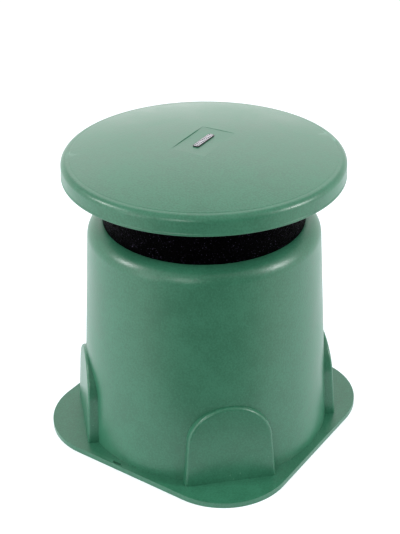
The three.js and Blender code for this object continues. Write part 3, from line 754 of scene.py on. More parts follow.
# %% [markdown]
# ## The moulded body
#
# The drum, its shoulder, the square foot flange and the four arched pads are one moulding. It could be
# sculpted from one cage, but it is easier to follow as the mould maker cut it: a turned drum, a slab
# for the flange, four leaning pads, joined into one solid, and then the cavity taken out of it. The
# wall narrows towards the shoulder so that the moulding leaves its mould.

# %% Body: drum and flange
WALL = 4.0
body_high = measure("enclosure_body")[1]
gasket_low, gasket_high = measure("cover_gasket")
FLANGE_HALF = body_high.x
FLANGE_CORNER = 89.5
FLANGE_THICK = 7.3
FLANGE_EDGE = 0.6
DECK = body_high.z
DRUM_FOOT = 3
FOOT_RADIUS = 162.2
TAPER = 0.0663
SHOULDER_ROUND = 20.0
LEDGE = gasket_high.z + 0.1
LEDGE_RADIUS = 138.0
HOLE_RADIUS = 91.5


def drum_radius(height):
    """Outer radius of the drum at a height."""
    return FOOT_RADIUS - TAPER * (height - FLANGE_THICK)


def drum_skin():
    """The drum as a solid with its round shoulder, standing in the flange."""
    wall = [(drum_radius(height), height, 0) for height in (DRUM_FOOT, *range(24, 260, 12))]
    shoulder = (drum_radius(DECK), DECK, SHOULDER_ROUND)
    corners = [(0, DRUM_FOOT, 0), *wall, shoulder, (0, DECK, 0)]
    return turned("moulded_body", soften(corners, 14), 236)


def flange_slab():
    """The square flange with its large round corners."""
    side = 2 * FLANGE_HALF
    outline = box_outline(side, side, FLANGE_CORNER, steps=28)
    return slab("flange", outline, 0, FLANGE_THICK, FLANGE_EDGE, 5, 0.25)


body = carve(drum_skin(), flange_slab(), operation="UNION")
print("drum and flange", len(body.data.polygons), "faces")

# %% Body: arched pads
PAD_FACE = 165.9
PAD_LEAN = 0.068
PAD_FOOT = 57.3
PAD_SPRING_HALF = 52.35
PAD_SPRING = 56.6
PAD_ARCH = 49.4
PAD_DEPTH = 24.0
PAD_EDGE = 3.4


def arch(steps=40):
    """The pad's outline: a foot hidden in the flange, two leaning sides and an arch."""
    sunk = FLANGE_THICK * 0.55
    outline = [(-PAD_FOOT, -sunk), (PAD_FOOT, -sunk), (PAD_FOOT, 0)]
    for k in range(steps + 1):
        angle = math.pi * k / steps
        outline.append((PAD_SPRING_HALF * math.cos(angle), PAD_SPRING + PAD_ARCH * math.sin(angle)))
    outline.append((-PAD_FOOT, 0))
    return outline


def leaning_pad(angle):
    """One pad, its face leaning with the drum and its front edge rounded."""
    steps = 5
    outline = arch()
    layers = []
    for k in range(steps + 1):
        lift = QUARTER * k / steps
        layers.append((inset(outline, PAD_EDGE * (1 - math.sin(lift))), PAD_EDGE * (1 - math.cos(lift))))
    layers.append((outline, PAD_DEPTH))
    pad = stacked("pad", layers)
    for vertex in pad.data.vertices:
        across, up, depth = vertex.co
        vertex.co = (PAD_FACE * MM - PAD_LEAN * up - depth, across, FLANGE_THICK * MM + up)
    return placed(pad, turn=angle)


for i in range(4):
    carve(body, leaning_pad(QUARTER * (i + 0.5)), operation="UNION")
print("with pads", len(body.data.polygons), "faces")

# %% Body: cavity, bosses and holes
COVER_SCREWS_AT = 145.0
DRIVER_SCREWS_AT = 98.3
PILLARS_AT = 110.5
M4_HOLE = 2.3
M5_HOLE = 2.8
BOSS = 5.0
SLOT_LONG = 13.0
SLOT_WIDE = 3.5
SLOT_IN = 4.0
SLOT_ALONG = 21.0
cover_places = around(6, COVER_SCREWS_AT, QUARTER / 3)
driver_places = around(4, DRIVER_SCREWS_AT, QUARTER / 2)
pillar_places = around(4, PILLARS_AT)


def cavity():
    """The hollow inside the drum, with the ledge for the cover and the hole for the driver."""
    inner = [(height, drum_radius(height) - WALL) for height in (-5, LEDGE, LEDGE + WALL, DECK - WALL)]
    corners = [
        (0, inner[0][0], 0),
        (inner[0][1], inner[0][0], 0),
        (inner[1][1], inner[1][0], 1.5),
        (LEDGE_RADIUS, LEDGE, 0.8),
        (LEDGE_RADIUS, LEDGE + WALL, 0.8),
        (inner[2][1], inner[2][0], 1.5),
        (inner[3][1], inner[3][0], SHOULDER_ROUND - WALL),
        (HOLE_RADIUS, DECK - WALL, 1.0),
        (HOLE_RADIUS, DECK + 5, 0),
        (0, DECK + 5, 0),
    ]
    return turned("cavity", soften(corners, 8), 240)


def bosses(places, low, high, radius=BOSS, edge=0.6):
    """Round bosses with softened ends."""
    return [slab("boss", round_outline(radius, x, y, 32), low, high, edge) for x, y in places]


carve(body, cavity())
carve(body, *bosses(cover_places, LEDGE + WALL - 1, LEDGE + WALL + 10), operation="UNION")
carve(body, *bosses(driver_places, DECK - WALL - 8, DECK - WALL + 1), operation="UNION")
carve(body, drills(cover_places, M4_HOLE, LEDGE - 1, LEDGE + WALL + 8))
carve(body, drills(driver_places, M4_HOLE, DECK - WALL - 9, DECK + 1))
carve(body, drills(pillar_places, M5_HOLE, DECK - WALL - 1, DECK + 1))
slot = box_outline(SLOT_WIDE, SLOT_LONG, SLOT_WIDE / 2 - 0.01, SLOT_IN - FLANGE_HALF, SLOT_ALONG)
carve(body, slab("slot", slot, -1, FLANGE_THICK + 1))
dress(body, "enclosure_body")

# %% [markdown]
# ## The cap and its badge
#
# The cap is a shallow dome with a soft outer edge, a short side that flares a little and a lip at the
# bottom. A fine groove runs round the dome where it turns down to the edge. The cap could be a ball
# cut flat and hollowed, but its section says all there is to say about it, so it is turned from that.
# The badge sits in a flat pocket: a dark base and a bright face, with two rows of plain dashes where
# a maker would put a name. The dashes are cut in the mesh, because they are as deep as the face.

# %% Cap
cap_low, cap_high = measure("top_cap")
CAP_TOP = cap_high.z
CAP_RIM = reach("top_cap")
DOME_FALL = 15.7
DOME_RADIUS = 164.0
GROOVE_AT = 160.8
CAP_EDGE_ROUND = 7.6
badge_low, badge_high = measure("badge_plate")
POCKET_LONG = 76.0
POCKET_WIDE = 45.0
POCKET_FLOOR = badge_low.z - 0.1
POCKET_TURN = math.radians(4.8)
CAP_BOSS = 7.0
CAP_BOSS_TOP = 383.0


def dome(radius):
    """Height of the cap's top at a radius."""
    return CAP_TOP - DOME_FALL * (radius / DOME_RADIUS) ** 2


def cap_outline():
    """Half of the cap's section: dome, groove, edge, side, lip and the inside back to the axis."""
    top = [(radius, dome(radius)) for radius in range(0, 151, 6)]
    outer = [
        (GROOVE_AT - 1.8, dome(GROOVE_AT - 1.8), 3.0),
        (GROOVE_AT, dome(GROOVE_AT) - 0.12, 3.0),
        (GROOVE_AT + 1.4, dome(GROOVE_AT + 1.4) - 0.02, 1.5),
        (CAP_RIM - 0.75, dome(GROOVE_AT + 1.4) - 1.1, CAP_EDGE_ROUND),
        (CAP_RIM - 0.35, cap_low.z + 3.4, 0.4),
        (CAP_RIM, cap_low.z + 2.6, 0.4),
        (CAP_RIM, cap_low.z, 0.9),
        (CAP_RIM - WALL, cap_low.z, 0.6),
        (CAP_RIM - WALL - 1, dome(DOME_RADIUS) - WALL, CAP_EDGE_ROUND - WALL),
        (0, dome(0) - WALL, 0),
    ]
    rounded = soften([(0, CAP_TOP, 0), (150, dome(150), 0), *outer], 7)[2:]
    inside = [(radius, dome(radius) - WALL) for radius in range(150, 0, -15)]
    return top + rounded[:-1] + inside + rounded[-1:]


cap = turned("moulded_cap", cap_outline(), 240)
boss_low = measure("reflector_plate")[1].z + 0.1
carve(cap, *bosses(pillar_places, boss_low, CAP_BOSS_TOP, CAP_BOSS, 0.5), operation="UNION")
carve(cap, drills(pillar_places, M5_HOLE, boss_low - 1, measure("cap_screw_1")[1].z + 1))
pocket = slab("pocket", box_outline(POCKET_LONG, POCKET_WIDE, 0.8), POCKET_FLOOR, CAP_TOP + 5)
carve(cap, placed(pocket, turn=POCKET_TURN))
dress(cap, "top_cap")

# %% Badge
BADGE_LONG = 40.5
BADGE_WIDE = 8.0
BADGE_CHAMFER = 1.6
FACE_THICK = 0.3
FACE_INSET = 0.7
DASH_LONG = 2.9
DASH_WIDE = 2.2
DASH_PITCH = 4.3
ROW_AT = 1.6
face_low = badge_high.z - FACE_THICK


def badge_outline(less=0.0):
    """A long octagon with its corners cut off."""
    long, wide = BADGE_LONG / 2 - less, BADGE_WIDE / 2 - less
    cut = BADGE_CHAMFER
    ends = ((long, wide), (-long, wide), (-long, -wide), (long, -wide))
    corners = []
    for (x, y), flat_first in zip(ends, (True, False, True, False)):
        beside = (x - math.copysign(cut, x), y)
        below = (x, y - math.copysign(cut, y))
        pair = (below, beside) if flat_first else (beside, below)
        corners.extend((a, b, 0.25) for a, b in pair)
    return soften(corners, 2)


base = slab("badge_base", badge_outline(), badge_low.z, face_low + 0.02, 0.15, 2)
face = slab("badge_face", badge_outline(FACE_INSET), face_low, badge_high.z, 0.1, 2)
dash_places = [(DASH_PITCH * i, side * ROW_AT) for i in range(-4, 5) for side in (-1, 1)]
dashes = [box_outline(DASH_LONG, DASH_WIDE, 0.2, x, y, 2) for x, y in dash_places]
carve(face, gathered([slab("dash", dash, face_low - 1, badge_high.z + 1) for dash in dashes]))
dress(placed(base, turn=POCKET_TURN), "badge_plate", "black_moulding")
dress(placed(face, turn=POCKET_TURN), "badge_plate", "badge")

# %% [markdown]
# ## The foam sleeve
#
# A sleeve of reticulated foam keeps rain and insects out and lets the sound through. The sleeve could
# be a smooth tube with a bump map, but its outline against the shoulder shows real pores, so the outer
# face is a fine grid whose points are pushed inwards where a pore opens. It keeps to the space between
# the deck and the plate.

# %% Foam
foam_low, foam_high = measure("foam_ring")
FOAM_RADIUS = reach("foam_ring") - 1.6
FOAM_THICK = 6.3
PORE_DEPTH = 1.3
PORE_SIZE = 2.4


def pore(point):
    """How far a point of the foam's face sinks into a pore, in millimetres."""
    distance = noise.voronoi(point / PORE_SIZE, distance_metric="DISTANCE", exponent=2.5)[0]
    strut = min(1.0, (distance[1] - distance[0]) * 1.8)
    return PORE_DEPTH * strut * (0.7 + 0.6 * noise.noise(point / 9))


def foam_sleeve(columns=560, rows=50):
    """A tube whose outer face is a fine grid of pores."""
    points = []
    rings = []
    for k in range(rows + 1):
        height = foam_low.z + (foam_high.z - foam_low.z) * k / rows
        rings.append(list(range(len(points), len(points) + columns)))
        for i in range(columns):
            angle = ROUND * (i + 0.5 * (k % 2)) / columns
            at = Vector((FOAM_RADIUS * math.cos(angle), FOAM_RADIUS * math.sin(angle), height))
            sunk = 0.35 if k in (0, rows) else pore(at)
            share = (FOAM_RADIUS - sunk) / FOAM_RADIUS
            points.append((at.x * share, at.y * share, height))
    for height in (foam_high.z, foam_low.z):
        rings.append(list(range(len(points), len(points) + columns)))
        points.extend((x, y, height) for x, y in around(columns, FOAM_RADIUS - FOAM_THICK))
    return new_piece("foam_sleeve", points, wrapped(rings, True))


foam = foam_sleeve()
dress(foam, "foam_ring")

# %% [markdown]
# ## Cage, reflector and pillars
#
# Behind the foam a ribbed cage keeps it round. Over the driver hangs the reflector, a plate drawn down
# into a flared cone which turns the sound outwards. Four pillars hold the cap up, and long screws run
# through them from under the deck. The cage could be put together from single ribs, but it is cleaner
# to turn a tube and push six bars through it, each of which cuts two windows with round corners. The
# reflector's section is two smooth curves, so that the sound meets no step.

# %% Cage
cage_low, cage_high = measure("foam_cage")
CAGE_RADIUS = reach("foam_cage")
CAGE_THICK = 2.5
CAGE_BAND = 7.0
CAGE_WINDOW = 52.0
BAR_HALF = 150.0


def window_bar(turn):
    """A cutter through the cage with rounded window corners."""
    tall = cage_high.z - cage_low.z - 2 * CAGE_BAND
    centre = (cage_low.z + cage_high.z) / 2
    outline = box_outline(tall, CAGE_WINDOW, 5.0, -centre, 0, 6)
    bar = placed(slab("bar", outline, -BAR_HALF, BAR_HALF), turn=QUARTER, axis="Y")
    return placed(bar, turn=turn)


cage_corners = ring_section(CAGE_RADIUS - CAGE_THICK, CAGE_RADIUS, cage_low.z, cage_high.z, 0.5)
cage = turned("foam_grille", soften(cage_corners, 3), 192)
carve(cage, *[window_bar(QUARTER / 3 * i) for i in range(6)])
dress(cage, "foam_cage")

# %% Reflector and pillars
plate_low, plate_high = measure("reflector_plate")
PLATE_RADIUS = reach("reflector_plate")
PLATE_THICK = 2.5
PILLAR_RADIUS = 4.6
horn_low = [(0, plate_low.z), (14, 322), (32, 338), (58, 352), (98, plate_high.z - PLATE_THICK)]
horn_top = [(97, plate_high.z), (56, 355), (30, 341), (12, 325), (0, plate_low.z + 3.5)]
plate_edge = [
    (98, plate_high.z - PLATE_THICK, 0),
    (PLATE_RADIUS, plate_high.z - PLATE_THICK, 0.8),
    (PLATE_RADIUS, plate_high.z, 0.8),
    (97, plate_high.z, 0),
]
plate_outline = [tuple(p) for p in flowing(horn_low, 8)[:-1]]
plate_outline += soften(plate_edge, 4)[:-1]
plate_outline += [tuple(p) for p in flowing(horn_top, 8)]
reflector = turned("sound_reflector", plate_outline, 160)
carve(reflector, drills(pillar_places, M5_HOLE, plate_high.z - 8, plate_high.z + 1))
dress(reflector, "reflector_plate")

for i, (x, y) in enumerate(pillar_places, 1):
    low, high = measure(f"cap_pillar_{i}")
    corners = ring_section(M5_HOLE, PILLAR_RADIUS, low.z, high.z, 0.4, 0.5, 0.5, 0.4)
    dress(turned(f"cap_spacer_{i}", soften(corners, 3), 40, (x, y)), f"cap_pillar_{i}")

# %% [markdown]
# ## Screws
#
# All screws are the thread-cutting kind used in plastic: a pan head with a cross recess and a coarse
# thread. A thread could be made with the screw modifier, but as the shank is turned anyway, the lathe
# only has to let its radius follow a helix. One mesh is made for each kind and shared by its copies.

# %% Screw maker
def ridge(share):
    """A V-shaped thread, from 0 in the root to 1 on the crest, repeating once a turn."""
    return max(0.0, 1 - 2.2 * abs(share - math.floor(share) - 0.5))


def threaded(crest, depth, pitch, low, high):
    """A bend for the lathe that cuts a thread between two heights."""
    def bend(radius, height, angle):
        if not low <= height <= high or radius < crest - 0.01:
            return radius
        fade = min(1.0, (height - low) / pitch, (high - height) / pitch)
        return radius - depth * (1 - fade * ridge(height / pitch - angle / ROUND))
    return bend


def ladder(radius, start, end, pitch):
    """Points close enough together to show a thread."""
    rows = max(2, round(abs(end - start) / pitch * 8))
    return [(radius, start + (end - start) * k / rows) for k in range(rows + 1)]


def cross(size, wide):
    """A cross-shaped outline."""
    arm, half = size / 2, wide / 2
    quarter = [(arm, half), (half, half), (half, arm)]
    outline = []
    for turn in range(4):
        c, s = round(math.cos(turn * QUARTER)), round(math.sin(turn * QUARTER))
        outline.extend((x * c - y * s, x * s + y * c) for x, y in quarter)
    return outline


def screw(name, radius, length, thread_length, head_radius, head_height):
    """A pan-head screw: seat at height 0, head above it, tip at minus its length."""
    pitch = radius * 0.7
    head = soften([(0, -1, 0), (0, head_height, 0), (head_radius, head_height * 0.82, head_height * 0.45),
                   (head_radius, 0, 0.2), (0, 0, 0)], 6)[1:-1]
    thread = ladder(radius, -length + thread_length, -length + radius * 0.8, pitch)
    outline = head + [(radius * 0.8, 0), (radius * 0.8, -length + thread_length + 0.01)] + thread
    outline += [(radius * 0.35, -length), (0, -length)]
    bend = threaded(radius, radius * 0.28, pitch, -length + radius * 0.8, -length + thread_length)
    piece = turned(name, outline, 24, bend=bend)
    driver_cross = cross(head_radius * 1.15, head_radius * 0.26)
    return carve(piece, slab("recess", driver_cross, head_height * 0.35, head_height + 1))


def fit_screws(name, nodes, radius, thread_length, head_radius, head_height, head_up):
    """Makes one screw, as long as its parts, and sets copies in their places; they share one mesh."""
    low, high = measure(nodes[0])
    length = high.z - low.z - head_height
    piece = screw(name, radius, length, thread_length, head_radius, head_height)
    coat(piece, slot_of[nodes[0]])
    for node in nodes:
        low, high = measure(node)
        at = middle(node)
        seat = high.z - head_height if head_up else low.z + head_height
        copy = bpy.data.objects.new(f"{node}_threaded", piece.data)
        bpy.context.scene.collection.objects.link(copy)
        polish(copy)
        turn = Matrix.Identity(4) if head_up else Matrix.Rotation(math.pi, 4, "X")
        copy.matrix_world = Matrix.Translation(Vector((at.x, at.y, seat)) * MM) @ turn
        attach(copy, body_of[node])
        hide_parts(node)
    print(f"{len(nodes)} of {piece.name}, {length:.1f} mm long, {len(piece.data.polygons)} faces each")
    bpy.data.objects.remove(piece)


def numbered(stem, number):
    """The names of repeated parts."""
    return [f"{stem}_{i}" for i in range(1, number + 1)]


# %% Set the screws
fit_screws("cap_screw", numbered("cap_screw", 4), 2.5, 18, 4.5, 4.0, False)
fit_screws("driver_screw", numbered("driver_screw", 4), 2.0, 12, 3.9, 2.5, True)
fit_screws("cover_screw", numbered("cover_screw", 6), 2.0, 14, 3.9, 2.8, False)
fit_screws("strap_screw", numbered("transformer_screw", 2), 2.0, 6, 3.9, 2.5, True)

# %% [markdown]
# ## The driver's frame and magnet
#
# The frame is pressed from one sheet of steel: a flat flange, a sloping bowl with six windows, a ledge
# for the spider and a cup for the magnet. It could be a surface that a modifier thickens, but a closed
# section keeps the radius of each bend in view. It is turned and then pierced, which is how the press
# does it. The magnet system is a ferrite ring between two steel plates, with the pole standing in the
# middle of it.

# %% Frame and gasket
frame_low, frame_high = measure("driver_basket")
FRAME_RADIUS = reach("driver_basket")
SHEET = 1.6
CUP_TOP = frame_low.z + SHEET
SPIDER_LEDGE = 253.0


def frame_outline():
    """The section of the pressed sheet, with its bends rounded."""
    top = frame_high.z
    return soften([
        (FRAME_RADIUS, top, 0.5),
        (89.5, top, 1.2),
        (87.5, 292, 1.5),
        (47, SPIDER_LEDGE, 1.2),
        (41, SPIDER_LEDGE, 0.7),
        (41, CUP_TOP, 1.0),
        (19, CUP_TOP, 0.4),
        (19, frame_low.z, 0.4),
        (42.6, frame_low.z, 2.0),
        (42.6, SPIDER_LEDGE - SHEET, 0.8),
        (48.2, SPIDER_LEDGE - SHEET, 1.8),
        (89.3, 291, 2.5),
        (91, top - SHEET, 1.0),
        (FRAME_RADIUS, top - SHEET, 0.5),
    ], 4)


def frame_window(turn, half=math.radians(21)):
    """A window between two legs of the frame."""
    outer = [(95 * math.cos(turn + half * k / 6), 95 * math.sin(turn + half * k / 6)) for k in range(-6, 7)]
    inner = [(30 * math.cos(turn - half * k / 6), 30 * math.sin(turn - half * k / 6)) for k in range(-6, 7)]
    return slab("window", outer + inner, SPIDER_LEDGE + 3, 287)


chassis = turned("driver_frame", frame_outline(), 168)
carve(chassis, *[frame_window(QUARTER / 3 * (2 * i + 1)) for i in range(6)])
carve(chassis, drills(driver_places, M4_HOLE, frame_high.z - 4, frame_high.z + 1))
dress(chassis, "driver_basket")

seal_low, seal_high = measure("driver_gasket")
seal_radius = reach("driver_gasket")
seal_corners = ring_section(92, seal_radius, seal_low.z, seal_high.z, 0.6)
seal = turned("frame_gasket", soften(seal_corners, 3), 128)
carve(seal, drills(driver_places, M4_HOLE, seal_low.z - 1, seal_high.z + 1))
dress(seal, "driver_gasket")

# %% Magnet system
def chamfered_ring(name, node, inner, edge=0.6, steps=96):
    """A ring with broken edges, as wide and as high as its part."""
    low, high = measure(node)
    corners = ring_section(inner, reach(node), low.z, high.z, edge)
    return dress(turned(name, soften(corners, 2), steps), node)


chamfered_ring("gap_plate", "front_plate", 18.2)
chamfered_ring("ferrite_ring", "magnet_ring", 26.0, 1.0)
pole_low, pole_high = measure("pole_plate")
steel_radius = reach("pole_plate")
pole_corners = [
    (4, pole_low.z, 0.6),
    (steel_radius, pole_low.z, 0.8),
    (steel_radius, pole_low.z + 6, 0.8),
    (15, pole_low.z + 6, 1.0),
    (15, pole_high.z, 0.6),
    (4, pole_high.z, 0.6),
]
dress(turned("back_plate", soften(pole_corners, 3), 96), "pole_plate")

# %% [markdown]
# ## What moves: cone, coil and whizzer
#
# The cone is a shallow funnel of paper with three ribs pressed into it to keep it stiff. The small
# whizzer cone carries the treble, and the dust cap keeps grit out of the magnet's gap. Glued to the
# cone's neck is the voice coil, copper wire on a paper former. The cone could be drawn point by point,
# but a formula for its height holds the funnel, its flare and its ribs, and gives both faces.

# %% Cone, whizzer and dust cap
cone_low, cone_high = measure("speaker_cone")
PAPER = 0.9
NECK = 17.0
CONE_EDGE = reach("speaker_cone")


def cone_height(radius):
    """Height of the cone's upper face: a funnel that flattens outwards, with three pressed ribs."""
    share = (radius - NECK) / (CONE_EDGE - NECK)
    funnel = cone_low.z + PAPER + (cone_high.z - cone_low.z - PAPER) * (0.82 * share + 0.18 * share * share)
    ribs = sum(math.exp(-((radius - at) / 1.1) ** 2) for at in (48, 56, 64))
    return funnel + 0.35 * ribs


cone_radii = [NECK + (CONE_EDGE - NECK) * k / 90 for k in range(91)]
cone_outline = [(radius, cone_height(radius)) for radius in cone_radii]
cone_outline += [(radius, cone_height(radius) - PAPER) for radius in reversed(cone_radii)]
dress(turned("paper_cone", cone_outline, 144), "speaker_cone")

whizzer_top = [(17.2, 265), (19.5, 274), (26, 281.5), (36, 288)]
whizzer_under = [(36.6, 287.4), (26.8, 280.9), (20.2, 273.5), (17.9, 265)]
whizzer_outline = [tuple(p) for p in (*flowing(whizzer_top, 6), *flowing(whizzer_under, 6))]
dress(turned("whizzer", whizzer_outline, 96), "whizzer_cone")

dust_low, dust_high = measure("dust_cap")
DUST = 16.4
dust_radii = [DUST * k / 12 for k in range(13)]
dust_rise = dust_high.z - dust_low.z
dust_top = [(radius, dust_high.z - dust_rise * (radius / DUST) ** 2) for radius in dust_radii]
dust_under = [(radius * 0.96, height - 0.6) for radius, height in reversed(dust_top[:-1])]
dust_outline = dust_top + [(DUST - 0.6, dust_low.z)] + dust_under
dress(turned("dust_dome", dust_outline, 72), "dust_cap")

# %% Voice coil
coil_low, coil_high = measure("voice_coil")
WIRE_LOW = coil_low.z + 4
WIRE_HIGH = WIRE_LOW + 12
HALF_WIRE = 0.16
former_corners = ring_section(16, 16.5, coil_low.z, coil_high.z, 0.15)
dress(turned("coil_former", soften(former_corners, 2), 72), "voice_coil", "paper")
wire_rows = [WIRE_LOW + HALF_WIRE * k for k in range(int((WIRE_HIGH - WIRE_LOW) / HALF_WIRE) + 1)]
wire_outline = [(17.25 + 0.15 * (k % 2), height) for k, height in enumerate(wire_rows)]
wire_outline += [(16.52, wire_rows[-1]), (16.52, wire_rows[0])]
dress(turned("coil_winding", wire_outline, 72), "voice_coil")

# %% [markdown]
# ## Surround, spider and tinsel leads
#
# The rubber roll and the corrugated spider are glued to the frame outside and to the cone inside.
# Each is turned as one closed ring with its finish, and its mesh stays where it was made, not joined
# to a moving body. The tinsel leads run from the solder tags to the cone, and stay in place too.

# %% Surround and spider
def bend_ring(piece, node, inner):
    """Gives a ring its finish, hides its part and keeps its mesh where it was made."""
    coat(piece, slot_of[node])
    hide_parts(node)
    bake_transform(piece)
    print(f"{piece.name}: {len(piece.data.polygons)} faces, follows the cone inside {inner} mm")


ROLL_AT = 83.5
roll_low = measure("cone_surround")[0].z
SKIN = 0.6


def roll(radius, height, start, end, steps=18):
    """Points of the half roll."""
    angles = [start + (end - start) * k / steps for k in range(steps + 1)]
    return [(ROLL_AT + radius * math.cos(a), height + radius * math.sin(a)) for a in angles]


surround_outline = [(93.8, roll_low), (93.8, roll_low + SKIN), (91.5, roll_low + SKIN)]
surround_outline += roll(6.2, roll_low + SKIN, 0, math.pi)
surround_outline += [(75.5, roll_low + SKIN), (73.8, roll_low + SKIN), (73.8, roll_low), (75.5, roll_low)]
surround_outline += roll(5.6, roll_low, math.pi, 0)
surround_outline += [(91.5, roll_low)]
bend_ring(turned("roll_surround", surround_outline, 168), "cone_surround", 78.0)

spider_low = SPIDER_LEDGE + 0.1
waves = [(46.5, 0), (43, 0), (40, 0), (37, 1.2), (34, 2.4), (31, 0.8), (28, -0.8), (25, 0.8), (22, 2.4),
         (19.5, 1.6), (17.2, 0.4)]
cloth = [(r, spider_low + rise) for r, rise in waves]
spider_outline = [(p.x, p.y + SKIN) for p in flowing(cloth, 5)]
spider_outline += [tuple(p) for p in reversed(flowing(cloth, 5))]
bend_ring(turned("spider_cloth", spider_outline, 120), "spider", 19.0)

# %% Solder tags and tinsel leads
board_low, board_high = measure("terminal_strip")
TAG_X = 7.0
TAG_Y = 58.0
board = slab("tag_board", box_outline(22, 19, 1.5, 0, 42.9 + 9.5), board_low.z, board_low.z + 1.5, 0.25, 2)
dress(board, "terminal_strip", "tan_cloth")


def solder_tag(side):
    """A folded tag with two ears and a groove for the wire between them."""
    x = side * TAG_X
    tag = slab("tag", box_outline(4, 6, 0.5, x, TAG_Y), board_low.z + 1.52, board_high.z, 0.25, 2)
    groove = slab("groove", box_outline(5, 2.2, 0.3, x, TAG_Y), board_low.z + 3.4, board_high.z + 1)
    return carve(tag, groove)


for i, side in enumerate((-1, 1), 1):
    tag = solder_tag(side)
    tag.name = f"solder_tag_{i}"
    dress(tag, "terminal_strip")
    foot, top = board_low.z + 3.5, board_high.z
    drop = [(0, foot), (1.0, foot), (1.05, top - 0.6), (0.75, top + 0.1), (0, top + 0.3)]
    dress(turned(f"solder_drop_{i}", drop, 24, (side * TAG_X, TAG_Y)), "terminal_strip", "zinc_steel")

TINSEL = 0.62


def braid(along, angle):
    """Radius of a twisted tinsel lead."""
    return TINSEL * (1 + 0.14 * math.cos(3 * angle - along * 0.9))


for i, side in enumerate((-1, 1), 1):
    x = side * TAG_X
    tinsel_low, tinsel_high = measure(f"tinsel_lead_{i}")
    stops = [(x, TAG_Y, 254), (x, 56.5, 259), (x, 51, 266), (x, 44, 270.5), (x, 40.5, 272.4)]
    lead = tube(f"tinsel_braid_{i}", flowing(stops, 16), TINSEL, 18, braid)
    coat(lead, "copper")
    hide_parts(f"tinsel_lead_{i}")
    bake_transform(lead)
    print(lead.name, "from", round(tinsel_low.z), "to", round(tinsel_high.z), "mm high")

# %% Leads from the transformer
LEAD = 1.1
for i, (side, name) in enumerate(((-1, "red_lead"), (1, "black_lead")), 1):
    x = side * TAG_X
    route = [(x, 86.5, 66), (x, 93, 72), (x, 98, 90), (x, 100, 130), (x, 98, 180), (x, 90, 220), (x, 76, 242),
             (x, 64, 249.5), (x, 62, 250)]
    dress(tube(name, flowing(route, 8), LEAD, 16), f"driver_lead_{i}")

# %% [markdown]
# ## The bottom cover
#
# A round cover closes the drum from below, recessed behind the foot so that nothing touches the ground.
# It has a stiffening rib, stands for what is screwed to it, and marks round the selector. The gasket
# between it and the ledge keeps water out. The cover could stay a plain disc, as it is seldom looked
# at, but the rib costs only four corners of its section, and the stands and marks are joined on.

# %% Cover and gasket
cover_low, cover_high = measure("bottom_cover")
COVER_RADIUS = reach("bottom_cover")
COVER_TOP = gasket_low.z - 0.1
COVER_UNDER = COVER_TOP - 4.0
MARKS_AT = 19.0
gland_axis = axis_of("gland_body")
selector_axis = axis_of("selector_spindle")
block_axis = axis_of("terminal_block")
strap_places = [axis_of(node) for node in numbered("transformer_screw", 2)]
stand_places = [*strap_places, block_axis]


def cover_plate():
    """The disc with its rib, softened at the edges."""
    corners = [
        (0, COVER_UNDER, 0),
        (124, COVER_UNDER, 1.2),
        (124, cover_low.z, 0.8),
        (127, cover_low.z, 0.8),
        (127, COVER_UNDER, 1.2),
        (COVER_RADIUS, COVER_UNDER, 1.0),
        (COVER_RADIUS, COVER_TOP, 0.6),
        (0, COVER_TOP, 0),
    ]
    return turned("base_cover", soften(corners, 4), 200)


def dial_marks(number=6, sweep=math.radians(120)):
    """Raised marks round the selector, one for each power setting."""
    marks = []
    for i in range(number):
        angle = QUARTER - sweep * i / (number - 1)
        x = selector_axis[0] + MARKS_AT * math.cos(angle)
        y = selector_axis[1] + MARKS_AT * math.sin(angle)
        line = box_outline(3.4 + 0.4 * i, 1.0, 0.3)
        mark = slab("mark", line, COVER_UNDER - 0.5, COVER_UNDER + 0.5, 0.15, 2)
        marks.append(placed(mark, (x, y, 0), angle))
    return marks


cover = cover_plate()
stands = bosses(stand_places, COVER_TOP - 1, cover_high.z, edge=0.5)
carve(cover, *stands, *dial_marks(), operation="UNION")
carve(cover, drills(cover_places, M4_HOLE, COVER_UNDER - 1, COVER_TOP + 1))
carve(cover, drills(stand_places, M4_HOLE, COVER_UNDER + 2, cover_high.z + 1))
carve(cover, drills([gland_axis], 10.3, COVER_UNDER - 1, COVER_TOP + 1, 48))
carve(cover, drills([selector_axis], 5.0, COVER_UNDER - 1, COVER_TOP + 1, 32))
dress(cover, "bottom_cover")

ring_corners = ring_section(139, reach("cover_gasket"), gasket_low.z, gasket_high.z, 0.7)
ring = turned("base_gasket", soften(ring_corners, 3), 168)
carve(ring, drills(cover_places, M4_HOLE, gasket_low.z - 1, gasket_high.z + 1))
dress(ring, "cover_gasket")

# %% [markdown]
# ## Cable gland
#
# The line comes in through a gland: a threaded body with a hexagonal collar, a rubber seal and a cap
# nut that squeezes it. The nuts could be hexagons with bevelled edges, but the curved chamfer of a
# real nut comes from turning its corners off, so each is a slab crossed with a turned blank. The
# barrel's thread and the cap nut's flutes are cut by the lathe's bend.

# %% Hexagons
def hexagon(radius, upright, fillet=0.4):
    """A hexagon with a corner on the y axis if upright, else on the x axis."""
    start = QUARTER if upright else 0.0
    return soften([(x, y, fillet) for x, y in around(6, radius, start)], 2)


def hex_part(name, node, low, high, radius, bore, at):
    """A hexagon with turned-off corners and a bore, standing at a place."""
    box_low, box_high = measure(node)
    upright = box_high.y - box_low.y > box_high.x - box_low.x
    piece = slab(name, hexagon(radius, upright), low, high)
    under = [(0, low - 0.01), (radius - 1.4, low - 0.01), (radius, low + 0.8)]
    over = [(radius, high - 0.8), (radius - 1.4, high + 0.01), (0, high + 0.01)]
    carve(piece, turned("blank", under + over, 64), operation="INTERSECT")
    carve(piece, slab("bore", round_outline(bore, 0, 0, 40), low - 1, high + 1))
    return placed(piece, (*at, 0))


